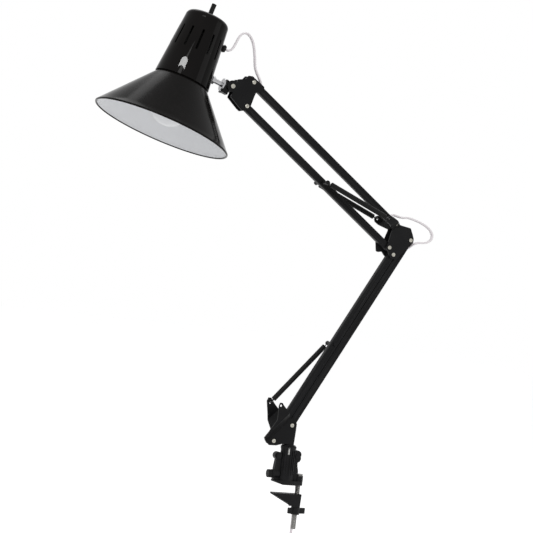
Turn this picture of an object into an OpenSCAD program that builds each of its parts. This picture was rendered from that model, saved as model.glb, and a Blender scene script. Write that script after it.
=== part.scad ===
// Clamp-on swing-arm desk lamp, spring balanced. Millimetres, +Z up.
// Origin: on the axis of the swivel post, level with the desk top that the clamp sits on.
// The arms lie in the XZ plane and the desk comes in from -X.

/* [Arms] */
// Pivot to pivot length of the lower arm's bars
lower_len = 278.4; // [240:1:320]
// Pivot to pivot length of the upper arm's bars
upper_len = 258.7; // [220:1:300]
// Lean of the lower arm above level, degrees
lower_angle = 61.2; // [61:0.2:80]
// Direction of the upper arm, degrees from +X
upper_angle = 145.2; // [130:0.2:160]
// Distance between the two bars' pivots on every bracket
pivot_spread = 30.3; // [29:0.1:34]
// Height of a bar's section
bar_w = 9; // [8:0.1:9.2]
// Depth of a bar's section, across the lamp
bar_d = 8; // [7.6:0.2:9]
// Wall of a bar
bar_wall = 1; // [0.8:0.1:1.2]
// Radius of the rivets that the bars turn on
rivet_r = 1.95; // [1.6:0.05:2.2]
// Running clearance of a bar on its rivet
rivet_play = 0.05; // [0.03:0.01:0.08]
// Clearance at the two pivots that close the linkages
open_play = 0.3; // [0.2:0.05:0.4]

/* [Brackets] */
// Thickness of the bracket plates
plate_t = 2; // [1.6:0.1:2.4]
// Side gap between a bar and the plates
plate_gap = 0.45; // [0.3:0.05:0.6]
// How far the spring ears stand out from the base plates
base_flare = 11.5; // [9:0.5:13]
// How far the spring ears stand out from the elbow plates
elbow_flare = 11.5; // [9:0.5:13]

/* [Springs] */
// Radius of a spring's sleeve
sleeve_r = 3.2; // [2.8:0.05:3.4]
// Wall of a spring's sleeve
sleeve_wall = 0.6; // [0.5:0.05:0.7]
// Radius of the hook wire
hook_wire_r = 0.6; // [0.5:0.05:0.7]
// Distance of the lower spring's pin from the arm's foot
lower_pin_at = 142.3; // [130:0.1:150]
// Distance of the upper springs' pin from the elbow
upper_pin_at = 121; // [110:0.5:130]

/* [Clamp] */
// Radius of the swivel post
post_r = 6.35; // [6:0.05:6.5]
// Running clearance of the post in its bush
post_play = 0.05; // [0.03:0.01:0.08]
// Wall of the socket bush
bush_wall = 1; // [0.8:0.1:1.2]
// Height of the socket barrel above the desk
barrel_h = 47; // [44:0.5:50]
// Radius of the clamp bolt
bolt_r = 2.95; // [2.8:0.05:3]
// Distance of the clamp bolt behind the post
bolt_x = 18.4; // [17.4:0.1:19.4]
// How far the bolt reaches below the desk top
bolt_drop = 54.5; // [52:0.5:60]
// Opening of the clamp
jaw_gap = 11; // [9.5:0.5:12.5]

/* [Shade] */
// Radius of the shade's rim
rim_r = 85; // [76:0.5:92]
// Length of the cone along its axis
cone_len = 67; // [60:0.5:75]
// Radius where the cone meets the cap
neck_r = 32.4; // [31:0.1:34]
// Wall of the shade and the cap
shade_wall = 0.9; // [0.7:0.1:1.2]
// Length of the cap
cap_len = 79.5; // [76:0.5:86]
// Radius of the cap at its shoulder
shoulder_r = 27.2; // [26.2:0.1:28.4]
// Number of vent slots
vent_count = 13; // [8:1:14]
// Lean of the shade's axis, degrees
shade_lean = 17.3; // [5:0.1:25]
// Radius of the stem
stem_r = 3.2; // [2.8:0.1:3.6]

/* [Bulb] */
// Radius of the bulb's glass
bulb_r = 26; // [24:0.5:28]
// Radius of the bulb's screw cap
bulb_cap_r = 13; // [12.6:0.1:13.2]

/* [Cord] */
// Width of the flat cord
cord_w = 5.3; // [4.8:0.1:5.4]
// Thickness of the flat cord
cord_t = 2.7; // [2.4:0.1:2.8]

/* [Hidden] */
$fn = 48;

black = [0.06, 0.06, 0.06];
steel = [0.75, 0.76, 0.78];
zinc = [0.85, 0.82, 0.72];
cord_grey = [0.86, 0.86, 0.88];
fit = 0.05;      // between two pieces that are fixed together
hair = 0.3;      // between two pieces that pass each other

function polar(r, a) = [r * cos(a), r * sin(a)];

// The linkage, as [x, z] points in the lamp's plane
base_tilt = 42.9;
elbow_tilt = 79.2;
lower_foot = [-23.8, 52.6];
lower_link_foot = lower_foot + polar(pivot_spread, base_tilt);
lower_head = lower_foot + polar(lower_len, lower_angle);
lower_link_head = lower_link_foot + polar(lower_len, lower_angle);
upper_foot = lower_head + [-6.5, 8.3];
upper_link_foot = upper_foot + polar(pivot_spread, elbow_tilt);
upper_head = upper_foot + polar(upper_len, upper_angle);
upper_link_head = upper_link_foot + polar(upper_len, upper_angle);
tilt_at = upper_link_head + [-26.7, -8.7];
lower_ear = lower_foot + [-0.2, 44.4];
upper_ear = upper_foot + [-9.9, 34.7];
lower_pin = lower_foot + polar(lower_pin_at, lower_angle);
upper_pin = upper_foot + polar(upper_pin_at, upper_angle);

plate_in = bar_d / 2 + plate_gap;
plate_out = plate_in + plate_t;
base_ear_y = plate_in + base_flare + plate_t / 2;
elbow_ear_y = plate_in + elbow_flare + plate_t / 2;
bore_r = rivet_r + rivet_play;
open_bore_r = rivet_r + open_play;
head_r = 2.7;
head_h = 1.2;

// ---------------------------------------------------------------- helpers

module at_xz(p, angle = 0) translate([p[0], 0, p[1]]) rotate([0, -angle, 0]) children();

// A cylinder along Y, from y0 to y1, at a point of the plane
module across(p, r, y0, y1) translate([p[0], y1, p[1]]) rotate([90, 0, 0]) cylinder(r = r, h = y1 - y0);

// An outline in [x, z], as a plate from y0 to y1
module slab(points, y0, y1) translate([0, y1, 0]) rotate([90, 0, 0]) linear_extrude(height = y1 - y0)
  polygon(points);

module rounded_slab(points, r, y0, y1) translate([0, y1, 0]) rotate([90, 0, 0])
  linear_extrude(height = y1 - y0) offset(r = r, $fn = 24) offset(delta = -r) polygon(points);

module tube(r, wall, h) difference() {
  cylinder(r = r, h = h);
  translate([0, 0, -1]) cylinder(r = r - wall, h = h + 2);
}

module ring(r, wire) rotate_extrude() translate([r, 0]) circle(r = wire, $fn = 24);

function vec_sum(v, i = 0) = i < len(v) ? v[i] + vec_sum(v, i + 1) : 0;
function path_len(p) = vec_sum([for (i = [1:len(p) - 1]) norm(p[i] - p[i - 1])]);
function unit(v) = v / norm(v);

// ------------------------------------------------------------------ bars

bar_end = bar_w / 2;
end_solid = bar_w / 2 + 2;   // how far the solid end reaches past a pivot
groove_w = 3;
groove_d = 0.5;
slot_w = cord_w + 1;
slot_len = 6.6;

// A bar from its foot pivot at the origin to its head pivot at x = len.
// entries: [distance along the bar, side] where the cord goes through a wall
module bar(len, foot_r, head_r, pins = [], entries = []) difference() {
  union() {
    translate([0, -bar_d / 2, -bar_w / 2]) cube([len, bar_d, bar_w]);
    for (x = [0, len]) across([x, 0], bar_end, -bar_d / 2, bar_d / 2);
  }
  translate([end_solid, -bar_d / 2 + bar_wall, -bar_w / 2 + bar_wall])
    cube([len - 2 * end_solid, bar_d - 2 * bar_wall, bar_w - 2 * bar_wall]);
  for (side = [-1, 1]) translate([len / 2, side * bar_d / 2, 0])
    cube([len - 4 * end_solid, 2 * groove_d, groove_w], center = true);
  across([0, 0], foot_r, -bar_d, bar_d);
  across([len, 0], head_r, -bar_d, bar_d);
  for (x = pins) across([x, 0], pin_r + fit, -bar_d, bar_d);
  for (e = entries) translate([e[0] - slot_len / 2, -slot_w / 2, e[1] > 0 ? bar_w / 2 - 2 * bar_wall : -bar_w])
    cube([slot_len, slot_w, e[1] > 0 ? bar_w : bar_w / 2 + 2 * bar_wall]);
}

pin_r = 2.3;
lower_entry = lower_len - 10;
upper_entry_foot = 10.5;
upper_entry_head = upper_len - 12;
flex_from = 9;

module lower_bar() color(black) at_xz(lower_foot, lower_angle)
  bar(lower_len, bore_r, bore_r, [lower_pin_at]);
module lower_link_bar() color(black) at_xz(lower_link_foot, lower_angle)
  bar(lower_len, bore_r, open_bore_r, [], [[lower_entry, -1]]);
module upper_bar() color(black) at_xz(upper_foot, upper_angle)
  bar(upper_len, bore_r, bore_r, [upper_pin_at]);
module upper_link_bar() color(black) at_xz(upper_link_foot, upper_angle)
  bar(upper_len, bore_r, open_bore_r, [], [[upper_entry_foot, -1], [upper_entry_head, -1]]);

// The cord inside a bar, laid against the solid ends
module flex(from, to) translate([from, -cord_w / 2, -cord_t / 2]) cube([to - from, cord_w, cord_t]);
module flex_in_lower_bar() color(cord_grey) at_xz(lower_link_foot, lower_angle)
  flex(flex_from, lower_len - flex_from);
module flex_in_upper_bar() color(cord_grey) at_xz(upper_link_foot, upper_angle)
  flex(flex_from, upper_len - flex_from);

// --------------------------------------------------------------- springs

ear_hole_r = 1.5;
hook_r = 2.6;
pin_hook_r = 2.3;
pin_neck_r = 1.5;
pin_groove = 2;
pin_reach = 2.4;
hook_gap = 1;      // bare hook between a ring and the coils

// From the ear's hole at the origin along X to the pin at x = len
module spring(len) {
  translate([hook_r, 0, 0]) ring(hook_r, hook_wire_r);
  translate([len, 0, 0]) rotate([90, 0, 0]) ring(pin_hook_r, hook_wire_r);
  along(2 * hook_r) cylinder(r = hook_wire_r, h = len - pin_hook_r - 2 * hook_r);
  along(coil_start) cylinder(r = sleeve_r - sleeve_wall - fit, h = len - coil_end - coil_start);
}
module along(x) translate([x, 0, 0]) rotate([0, 90, 0]) children();
sleeve_start = 2 * hook_r + hook_gap;
sleeve_end = pin_hook_r + hook_gap + 2.2;   // from the pin
coil_start = sleeve_start + 1.5;
coil_end = sleeve_end + 1.5;
module sleeve(len) along(sleeve_start) tube(sleeve_r, sleeve_wall, len - sleeve_end - sleeve_start);

module on_spring(ear, pin, y) translate([ear[0], y, ear[1]])
  rotate([0, -atan2(pin[1] - ear[1], pin[0] - ear[0]), 0]) children();
lower_spring_len = norm(lower_pin - lower_ear);
upper_spring_len = norm(upper_pin - upper_ear);

module lower_spring_back() color(steel) on_spring(lower_ear, lower_pin, base_ear_y) spring(lower_spring_len);
module lower_sleeve_back() color(black) on_spring(lower_ear, lower_pin, base_ear_y) sleeve(lower_spring_len);
module upper_spring_front() color(steel) on_spring(upper_ear, upper_pin, -elbow_ear_y) spring(upper_spring_len);
module upper_spring_back() color(steel) on_spring(upper_ear, upper_pin, elbow_ear_y) spring(upper_spring_len);
module upper_sleeve_front() color(black) on_spring(upper_ear, upper_pin, -elbow_ear_y) sleeve(upper_spring_len);
module upper_sleeve_back() color(black) on_spring(upper_ear, upper_pin, elbow_ear_y) sleeve(upper_spring_len);

// The pin that the springs pull on: a plain rod with a groove for each spring's ring
module spring_pin(from, to, grooves) rotate([-90, 0, 0]) rotate_extrude() polygon(concat([[0, from], [pin_r, from]],
  [for (g = grooves) each [[pin_r, g - pin_groove / 2], [pin_neck_r, g - pin_groove / 2],
    [pin_neck_r, g + pin_groove / 2], [pin_r, g + pin_groove / 2]]], [[pin_r, to], [0, to]]));
lower_pin_from = -bar_d / 2 - 1.5;
module lower_spring_pin() color(black) at_xz(lower_pin)
  spring_pin(lower_pin_from, base_ear_y + pin_reach, [base_ear_y]);
module upper_spring_pin() color(black) at_xz(upper_pin)
  spring_pin(-elbow_ear_y - pin_reach, elbow_ear_y + pin_reach, [-elbow_ear_y, elbow_ear_y]);

// ---------------------------------------------------------------- plates

// A sheet that is flat near the bars and steps out to a spring ear.
// The fold runs through fold_at in the direction fold_dir, and the ear is on its left.
module bent_sheet(fold_at, fold_dir, flare, run) at_xz(fold_at) rotate([0, -(90 + fold_dir), 0])
  linear_extrude(height = 240, center = true) {
    k = 0.4 * plate_t;
    polygon([[-90, -plate_in], [0, -plate_in], [run, -plate_in - flare], [60, -plate_in - flare],
      [60, -plate_out - flare], [run - k, -plate_out - flare], [-k, -plate_out], [-90, -plate_out]]);
  }

module front_or_back(side) scale([1, -side, 1]) children();

// Base plates: outline points from the lower arm's foot
base_fold_dir = 45.9;
base_fold_at = lower_foot + [-2, 8.1];
base_points = [[4, -5.4], [12, -3], [27.6, -3], [28.4, 13.6], [28.6, 23], [24, 28.4], [16, 30.4]];
base_front_edge = [[12, 36], [7.3, 41.3], [3, 45.6], [1.4, 48], [-1.6, 48], [-2.9, 44], [-2.7, 26.8], [-11, 14],
  [-16.5, 3.8], [-5.2, -5.6]];
base_back_edge = [[12.4, 37], [5.6, 44], [0.2, 50.8], [-3, 50.8], [-4.7, 46.5], [-1.9, 31], [0.6, 13], [-2.8, 5.4],
  [-4.8, 0], [-4.8, -4.4]];
module base_plate(side) color(black) mirror([0, side > 0 ? 1 : 0, 0]) difference() {
  intersection() {
    rounded_slab([for (p = concat(base_points, side > 0 ? base_back_edge : base_front_edge)) lower_foot + p],
      1.2, -30, 0);
    bent_sheet(base_fold_at, base_fold_dir, base_flare, 10);
  }
  for (p = [lower_foot, lower_link_foot]) across(p, rivet_r + fit, -30, 1);
  across(lower_ear, ear_hole_r, -30, 1);
  if (side > 0) across(cord_way, 3, -30, 1);
}
module base_plate_front() base_plate(-1);
module base_plate_back() base_plate(1);

// The block that the post is riveted to, between the plates
block_top = lower_foot[1] + 10.4;
post_top = lower_foot[1] - 3;
cord_way = [-3, 57];
module base_block() color(black) difference() {
  translate([lower_foot[0] + 12, -plate_in + fit, post_top]) cube([15.4, 2 * (plate_in - fit), block_top - post_top]);
  translate([cord_way[0] - 3.2, -cord_w / 2 - 0.5, cord_way[1] - 3.2]) cube([6.4, 20, 20]);
}

// Elbow plates: outline points from the upper arm's foot
elbow_fold_dir = 32.5;
elbow_fold_at = upper_foot + [1.6, 22.7];
elbow_points = [[1.6, 22.7], [-6, 26.5], [-12.6, 30.6], [-14, 34], [-12.6, 37.6], [-9.5, 38.8], [-5, 38], [0, 35.3],
  [9.9, 29.8], [13.3, 29.4], [27, 27.4], [30.6, 20], [32.8, 14.5], [32.6, 9.5], [25.5, 1.9], [18.2, -6.3], [11, -14.5],
  [3, -13.4]];
elbow_front_edge = [[-1.5, -4.5], [-5, -1], [-2.7, 4.5]];
elbow_back_edge = [[-1.1, -9.6], [-4.3, -5.9], [-9.4, -7], [-12.2, -6.2], [-14.3, 6.6], [-3, 9]];
module elbow_plate(side) color(black) mirror([0, side > 0 ? 1 : 0, 0]) difference() {
  intersection() {
    rounded_slab([for (p = concat(elbow_points, side > 0 ? elbow_back_edge : elbow_front_edge)) upper_foot + p],
      1.2, -30, 0);
    bent_sheet(elbow_fold_at, elbow_fold_dir, elbow_flare, 10);
  }
  for (p = [lower_head, lower_link_head, upper_foot, upper_link_foot]) across(p, rivet_r + fit, -30, 1);
  across(upper_ear, ear_hole_r, -30, 1);
}
module elbow_plate_front() elbow_plate(-1);
module elbow_plate_back() elbow_plate(1);
module elbow_spacer() color(black) across(lower_link_head + [-11.5, 5], 3.5, -plate_in + fit, plate_in - fit);

// Head plates: outline points from the upper arm's head pivot
head_points = [[-15, 30.4], [-5.7, 32], [-2, 36.7], [3.4, 36.7], [19.6, 26.4], [20.2, 22.6], [9.8, 17.2],
  [8, 12], [5.2, 1.4], [2.4, -4.5], [-5, -6.4], [-9, -3.6], [-22, 8.2]];
head_outline = [for (p = head_points) upper_head + p];
tilt_round = 7;
module head_plate(side) color(black) mirror([0, side > 0 ? 1 : 0, 0]) difference() {
  union() {
    rounded_slab(head_outline, 1.2, -plate_out, -plate_in);
    across(tilt_at, tilt_round, -plate_out, -plate_in);
  }
  for (p = [upper_head, upper_link_head, tilt_at]) across(p, rivet_r + fit, -30, 1);
}
module head_plate_front() head_plate(-1);
module head_plate_back() head_plate(1);

// A tubular rivet across both plates
module rivet(p, reach) translate([p[0], 0, p[1]]) rotate([90, 0, 0]) rotate_extrude()
  polygon([[0, -reach - head_h + 0.5], [0.8, -reach - head_h + 0.5], [0.8, -reach - head_h], [1.6, -reach - head_h],
    [2.4, -reach - 0.7 * head_h], [head_r, -reach], [rivet_r, -reach], [rivet_r, reach], [head_r, reach],
    [2.4, reach + 0.7 * head_h], [1.6, reach + head_h], [0.8, reach + head_h], [0.8, reach + head_h - 0.5],
    [0, reach + head_h - 0.5]]);
rivet_reach = plate_out + fit;

module base_rivets() color(zinc) {
  rivet(lower_foot, rivet_reach);
  rivet(lower_link_foot, rivet_reach);
}
module elbow_rivets() color(zinc) {
  for (p = [lower_head, lower_link_head, upper_foot]) rivet(p, rivet_reach);
  across(upper_link_foot, rivet_r, -plate_out - 1.5, plate_out + 1.5);
}
module head_rivets() color(zinc) for (p = [upper_head, upper_link_head]) rivet(p, rivet_reach);

// ----------------------------------------------------------------- clamp

bush_r = post_r + post_play;
barrel_r = bush_r + bush_wall + 1.8;
post_floor = 9.6;
foot_h = 5;
lobe_at = [[-14.6, 34.8], [11.1, 35.2]];
lobe_r = [4.7, 5.2];
lobe_tall = 2.3;
lobe_hole_r = 1.7;
web_d = 3;
lobe_front = 5;
knob_z = 12;
knob_screw_r = 2.4;
knob_at = 19.2;
slit_w = 2.8;
slit_x = -2.3;
clamp_outline = [[-13.2, 0.5], [bolt_x + 3.4, 0.5], [bolt_x + 4.6, 7], [bolt_x + 0.2, 14.5], [bolt_x - 3.2, 17],
  [13.6, 23], [13, 29], [13, 34], [11, 39.4], [-13.4, 38.4], [-15.6, 33.2], [-16, 28], [-17, 19], [-16.6, 4]];
foot_outline = [[-17.6, -3.4], [-12, -9.6], [8, -10.4], [20, -7.4], [bolt_x + 4.4, -3], [bolt_x + 4.4, 3], [20, 7.4],
  [8, 10.4], [-12, 9.6], [-17.6, 3.4]];
module clamp_body() color(black) difference() {
  union() {
    cylinder(r = barrel_r, h = barrel_h);
    translate([0, 0, barrel_h - 3]) cylinder(r = barrel_r + 0.6, h = 3);
    for (a = [-144:18:-54]) rotate([0, 0, a]) translate([barrel_r - 1, -0.6, 12]) cube([2, 1.2, barrel_h - 17]);
    slab(clamp_outline, -web_d, web_d);
    across(lobe_at[0], lobe_r[0], -lobe_front, 2.4);
    across(lobe_at[1] + [0, lobe_tall], lobe_r[1], -lobe_front, web_d + 0.5);
    across(lobe_at[1] - [0, lobe_tall], lobe_r[1], 0.2 - lobe_front, web_d + 0.3);
    linear_extrude(height = foot_h) offset(r = 1.5, $fn = 24) offset(delta = -1.5) polygon(foot_outline);
    translate([0, 0, foot_h - 0.5]) cylinder(r1 = barrel_r + 1, r2 = barrel_r + 0.3, h = 14.5);
    translate([bolt_x, 0, foot_h - 0.6]) cylinder(r = 5.2, h = 7);
    translate([0.3 - knob_at, 0, knob_z]) rotate([0, 90, 0]) cylinder(r = 5.3, h = 9);
  }
  translate([0, 0, post_floor]) cylinder(r = bush_r + bush_wall + fit, h = barrel_h);
  translate([bolt_x, 0, -1]) cylinder(r = bolt_r + fit, h = 30);
  translate([bolt_x, 0, 10]) cylinder(r = 5, h = 30, $fn = 6);
  translate([-30, 0, knob_z]) rotate([0, 90, 0]) cylinder(r = knob_screw_r + fit, h = 30);
  translate([slit_x - slit_w / 2, -20, barrel_h - 10]) cube([slit_w, 20, 8.4]);
  for (p = lobe_at) across(p, lobe_hole_r + fit, -10, 10);
  slab([[-6.5, -1], [-6.5, 0], [-19, 3.4], [-30, 3.4], [-30, -1]], -20, 20);
}
module socket_bush() color("ivory") difference() {
  translate([0, 0, post_floor + fit]) tube(bush_r + bush_wall, bush_wall, barrel_h - post_floor - fit);
  translate([-20, 0, knob_z]) rotate([0, 90, 0]) cylinder(r = knob_screw_r + fit, h = 20);
}
module clamp_bolt() color(steel) translate([bolt_x, 0, 0]) {
  translate([0, 0, -bolt_drop]) cylinder(r = bolt_r, h = bolt_drop + 11);
  translate([0, 0, 10 + fit]) cylinder(r = 4.9, h = 3.6, $fn = 6);
}
module lobe_screws() color(black) for (p = lobe_at) {
  across(p, lobe_hole_r, -lobe_front - 1, 2);
  across(p, 2.8, -lobe_front - 1.3, -lobe_front - fit);
}

// Lower jaw: a tapered channel that hangs on the bolt
jaw_wall = 1.6;
jaw_in = 4.4;
jaw_depth = 16.2;
jaw_top = -jaw_gap;
jaw_outline = [[-15.2, jaw_top], [bolt_x + 3.8, jaw_top], [bolt_x + 3.2, jaw_top - jaw_depth],
  [bolt_x - 6.8, jaw_top - jaw_depth], [bolt_x - 7.2, jaw_top - jaw_depth + 1.2], [-15.2, jaw_top - jaw_wall - 0.4]];
jaw_play = 0.3;
module lower_jaw() color(black) difference() {
  union() {
    difference() {
      slab(jaw_outline, -jaw_in - jaw_wall, jaw_in + jaw_wall);
      translate([-30, -jaw_in, jaw_top - 40]) cube([bolt_x + 30 + 4, 2 * jaw_in, 40 - jaw_wall]);
    }
    translate([bolt_x, 0, jaw_top - jaw_depth]) cylinder(r = 5.3, h = jaw_depth - 0.5);
  }
  translate([bolt_x, 0, -80]) cylinder(r = bolt_r + jaw_play, h = 80);
}
nut_top = jaw_top - jaw_depth - 0.3;
nut_h = 9;
module lever_nut() color(black) translate([bolt_x, 0, nut_top - nut_h]) difference() {
  union() {
    cylinder(r = 5.4, h = nut_h);
    rotate([0, 0, 14]) translate([0, -1.8, 1]) cube([14, 3.6, nut_h - 2]);
    rotate([0, 0, 194]) translate([0, -1.8, 1]) cube([10.7, 3.6, nut_h - 2]);
  }
  translate([0, 0, -1]) cylinder(r = bolt_r + fit, h = nut_h + 2);
}
module lock_knob() color(black) translate([-knob_at, 0, knob_z]) rotate([0, -90, 0]) difference() {
  union() {
    translate([0, 0, post_r + hair - knob_at]) cylinder(r = knob_screw_r, h = knob_at - post_r);
    cylinder(r = 5, h = 5.2);
  }
  for (a = [0:30:330]) rotate([0, 0, a]) translate([5.3, 0, -1]) cylinder(r = 0.7, h = 9);
}
module swivel_post() color(black) {
  translate([0, 0, post_floor + 1]) cylinder(r = post_r, h = post_top - fit - post_floor - 1);
  translate([0, 0, barrel_h + 0.1]) cylinder(r = 8.6, h = 1.4);
}

// ----------------------------------------------------------------- shade

// The shade's own frame: origin on its axis where cone and cap meet, Z up its axis
knuckle_x = 59.4;   // the tilt rivet, out along the stem
tilt_z = 16.8;      // and up the axis
stem_z = 14;
neck_at = tilt_at - [cos(shade_lean) * knuckle_x + sin(shade_lean) * tilt_z,
  -sin(shade_lean) * knuckle_x + cos(shade_lean) * tilt_z];
module in_shade() translate([neck_at[0], 0, neck_at[1]]) rotate([0, shade_lean, 0]) children();

lip_r = neck_r + shade_wall + fit;
shoulder_z = cap_len - 7;
cap_taper = atan((lip_r - shoulder_r) / (shoulder_z - 3));
corner_r = 7;
lip_end = -4.3;
cap_outer = concat([[lip_r + shade_wall, lip_end], [lip_r + shade_wall, 2.4]],
  [for (a = [-6:12:90]) [shoulder_r - corner_r + corner_r * cos(max(a, 0)), shoulder_z + corner_r * sin(max(a, 0))]]);
cap_inner = concat([[lip_r, lip_end], [lip_r, 2.2]],
  [for (a = [-6:12:90]) [shoulder_r - corner_r + (corner_r - shade_wall) * cos(max(a, 0)),
    shoulder_z + (corner_r - shade_wall) * sin(max(a, 0))]]);
vent_len = 26;
vent_w = 2.6;
vent_z = 44;
vent_turn = 5;
bushing_r = 4.8;
function reversed(v) = [for (i = [len(v) - 1:-1:0]) v[i]];
module shade_cap() color(black) in_shade() difference() {
  rotate_extrude() polygon(concat(cap_outer, [[0, cap_len], [0, cap_len - shade_wall]], reversed(cap_inner)));
  for (i = [0:vent_count - 1]) rotate([0, 0, vent_turn + i * 360 / vent_count]) translate([15, -vent_w / 2, vent_z - vent_len / 2])
    cube([20, vent_w, vent_len]);
  rotate([0, 90, 0]) translate([-stem_z, 0, 0]) cylinder(r = stem_r + fit, h = 60);
  translate([0, 0, cap_len - 5]) cylinder(r = bushing_r + fit, h = 10);
  grommet_place() cylinder(r = grommet_r + fit, h = 12, center = true);
}

bead_r = 1.25;
cone_r = rim_r - bead_r;
module shade_cone() color(black) in_shade() rotate_extrude($fn = 96) polygon(concat(
  [[neck_r, 1.5], [neck_r, -4.2], [neck_r + 1, -5.6]],
  [for (a = [60:-24:-180]) [cone_r, -cone_len] + bead_r * [cos(a), sin(a)]],
  [[neck_r + 0.3 - shade_wall, -5.8], [neck_r - shade_wall, -4.6], [neck_r - shade_wall, 1.5]]));

// Stem, its nut against the cap and the knuckle between the head plates
stem_from = 19;
stem_to = 47.3;
module shade_stem() color(steel) in_shade() translate([0, 0, stem_z]) rotate([0, 90, 0]) {
  translate([0, 0, stem_from]) cylinder(r = stem_r, h = stem_to - stem_from);
  translate([0, 0, stem_to]) cylinder(r = 8, h = 2);
}
module stem_nut() color(steel) in_shade() translate([0, 0, stem_z]) rotate([0, 90, 0]) difference() {
  translate([0, 0, neck_r + 1.2]) cylinder(r = 5.2, h = 3.4, $fn = 6);
  cylinder(r = stem_r + fit, h = 60);
}
knuckle_round = 6.2;
module tilt_knuckle() color(black) in_shade() difference() {
  union() {
    translate([stem_to + 2 + fit, -plate_out, 4.9]) cube([knuckle_x - tilt_round - hair - stem_to - 2 - fit, 2 * plate_out, 16.2]);
    translate([stem_to + 2 + fit, -plate_in + 0.2, 4.9])
      cube([knuckle_x - stem_to - 3.6, 2 * plate_in - 0.4, 16.2]);
    translate([knuckle_x, plate_in - 0.2, tilt_z]) rotate([90, 0, 0]) cylinder(r = knuckle_round, h = 2 * plate_in - 0.4);
  }
  translate([knuckle_x, 20, tilt_z]) rotate([90, 0, 0]) cylinder(r = bore_r, h = 40);
}
module tilt_bolt() color(zinc) {
  across(tilt_at, rivet_r, -plate_out - fit, plate_out + 4);
  across(tilt_at, head_r, -plate_out - head_h - fit, -plate_out - fit);
}
module tilt_nut() color(zinc) difference() {
  translate([tilt_at[0], plate_out + fit, tilt_at[1]]) rotate([-90, 0, 0]) cylinder(r = 4, h = 3.2, $fn = 6);
  across(tilt_at, rivet_r + fit, 0, 20);
}

// Lampholder with its switch, and the bulb
holder_r = 17;
holder_low = 11;
holder_top = 70;
shell_r = bulb_cap_r + 0.9;
module lampholder() color([0.12, 0.12, 0.12]) in_shade() difference() {
  union() {
    translate([0, 0, holder_low]) cylinder(r = holder_r, h = holder_top - holder_low);
    translate([0, 0, holder_top - 1]) cylinder(r = bushing_r, h = cap_len + 3.4 - holder_top + 1);
  }
  translate([0, 0, holder_low - 1]) cylinder(r = shell_r + fit, h = 31 + fit);
  translate([0, 0, holder_top - 6]) cylinder(r = knob_shaft_r + fit, h = 40);
  translate([holder_r - 3, 0, stem_z]) rotate([0, 90, 0]) cylinder(r = stem_r + fit, h = 10);
}
module holder_shell() color("goldenrod") in_shade() translate([0, 0, holder_low + 1]) tube(shell_r, 0.6, 28.5);
module holder_contact() color("goldenrod") in_shade() translate([0, 0, cap_end + 0.3]) cylinder(r = 3, h = 30 + holder_low - cap_end - 0.3);
// A strap from the stem's end round the lampholder
module holder_bracket() color(steel) in_shade() difference() {
  translate([0, 0, stem_z - 6]) union() {
    tube(holder_r + 1.2 + fit, 1.2, 12);
    translate([holder_r + 0.4, -5, 0]) cube([4.6, 10, 12]);
  }
  translate([0, 0, stem_z]) rotate([0, 90, 0]) cylinder(r = stem_r + fit, h = 60);
}
cap_end = holder_low + 26.4;
bulb_top = holder_low - 2;
bulb_low = 62;
bulb_z = bulb_r - bulb_low;
cap_wall = 0.6;
module bulb_cap() color(steel) in_shade() rotate_extrude() polygon([[bulb_cap_r - cap_wall, bulb_top + fit],
  [bulb_cap_r, bulb_top + fit], [bulb_cap_r, bulb_top + 22], [5, bulb_top + 26], [4.5, cap_end], [0, cap_end],
  [0, bulb_top + 25], [4.6, bulb_top + 25], [bulb_cap_r - cap_wall, bulb_top + 21.4]]);
neck_arc = asin((bulb_cap_r + 2) / bulb_r);
glass_wall = 0.8;
function glass_line(w) = concat([for (i = [0:15]) let (a = i * (180 - neck_arc) / 15)
  [(bulb_r - w) * sin(a), bulb_z - (bulb_r - w) * cos(a)]],
  [[bulb_cap_r + 0.8 - w, bulb_z + bulb_r * cos(neck_arc) + 5], [bulb_cap_r - 0.2 - w, bulb_top - 4],
    [bulb_cap_r - 0.4 - w, bulb_top]]);
module bulb_glass() color("whitesmoke") in_shade() rotate_extrude()
  polygon(concat(glass_line(0), reversed(glass_line(glass_wall))));
module switch_nut() color(steel) in_shade() difference() {
  translate([0, 0, cap_len + fit]) cylinder(r = 7, h = 2.4, $fn = 6);
  cylinder(r = bushing_r + fit, h = 120);
}
knob_shaft_r = 1.8;
module switch_knob() color(black) in_shade() {
  translate([0, 0, holder_top - 5]) cylinder(r = knob_shaft_r, h = cap_len + 4 - holder_top + 5);
  translate([0, 0, cap_len + 3.8]) linear_extrude(height = 13.6)
    polygon([for (i = [0:27]) (i % 2 == 0 ? 2.9 : 2.5) * [cos(i * 360 / 28), sin(i * 360 / 28)]]);
}

cord_room = 0.25;
grommet_r = 3.8;
grommet_turn = -8;
grommet_out = 29.7;
grommet_z = 53;
module grommet_place() rotate([0, 0, grommet_turn]) translate([grommet_out, 0, grommet_z]) rotate([0, 90, 0]) children();
module cord_grommet() color(black) in_shade() grommet_place() difference() {
  union() {
    translate([0, 0, -4.4]) cylinder(r = grommet_r, h = 8.4);
    translate([0, 0, 0.9]) cylinder(r1 = 5, r2 = 4, h = 2.6);
    translate([0, 0, -4.4]) cylinder(r = 4.8, h = 1.2);
  }
  cube([cord_t + 2 * cord_room, cord_w + 2 * cord_room, 30], center = true);
}

// ----------------------------------------------------------------- cord

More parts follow.
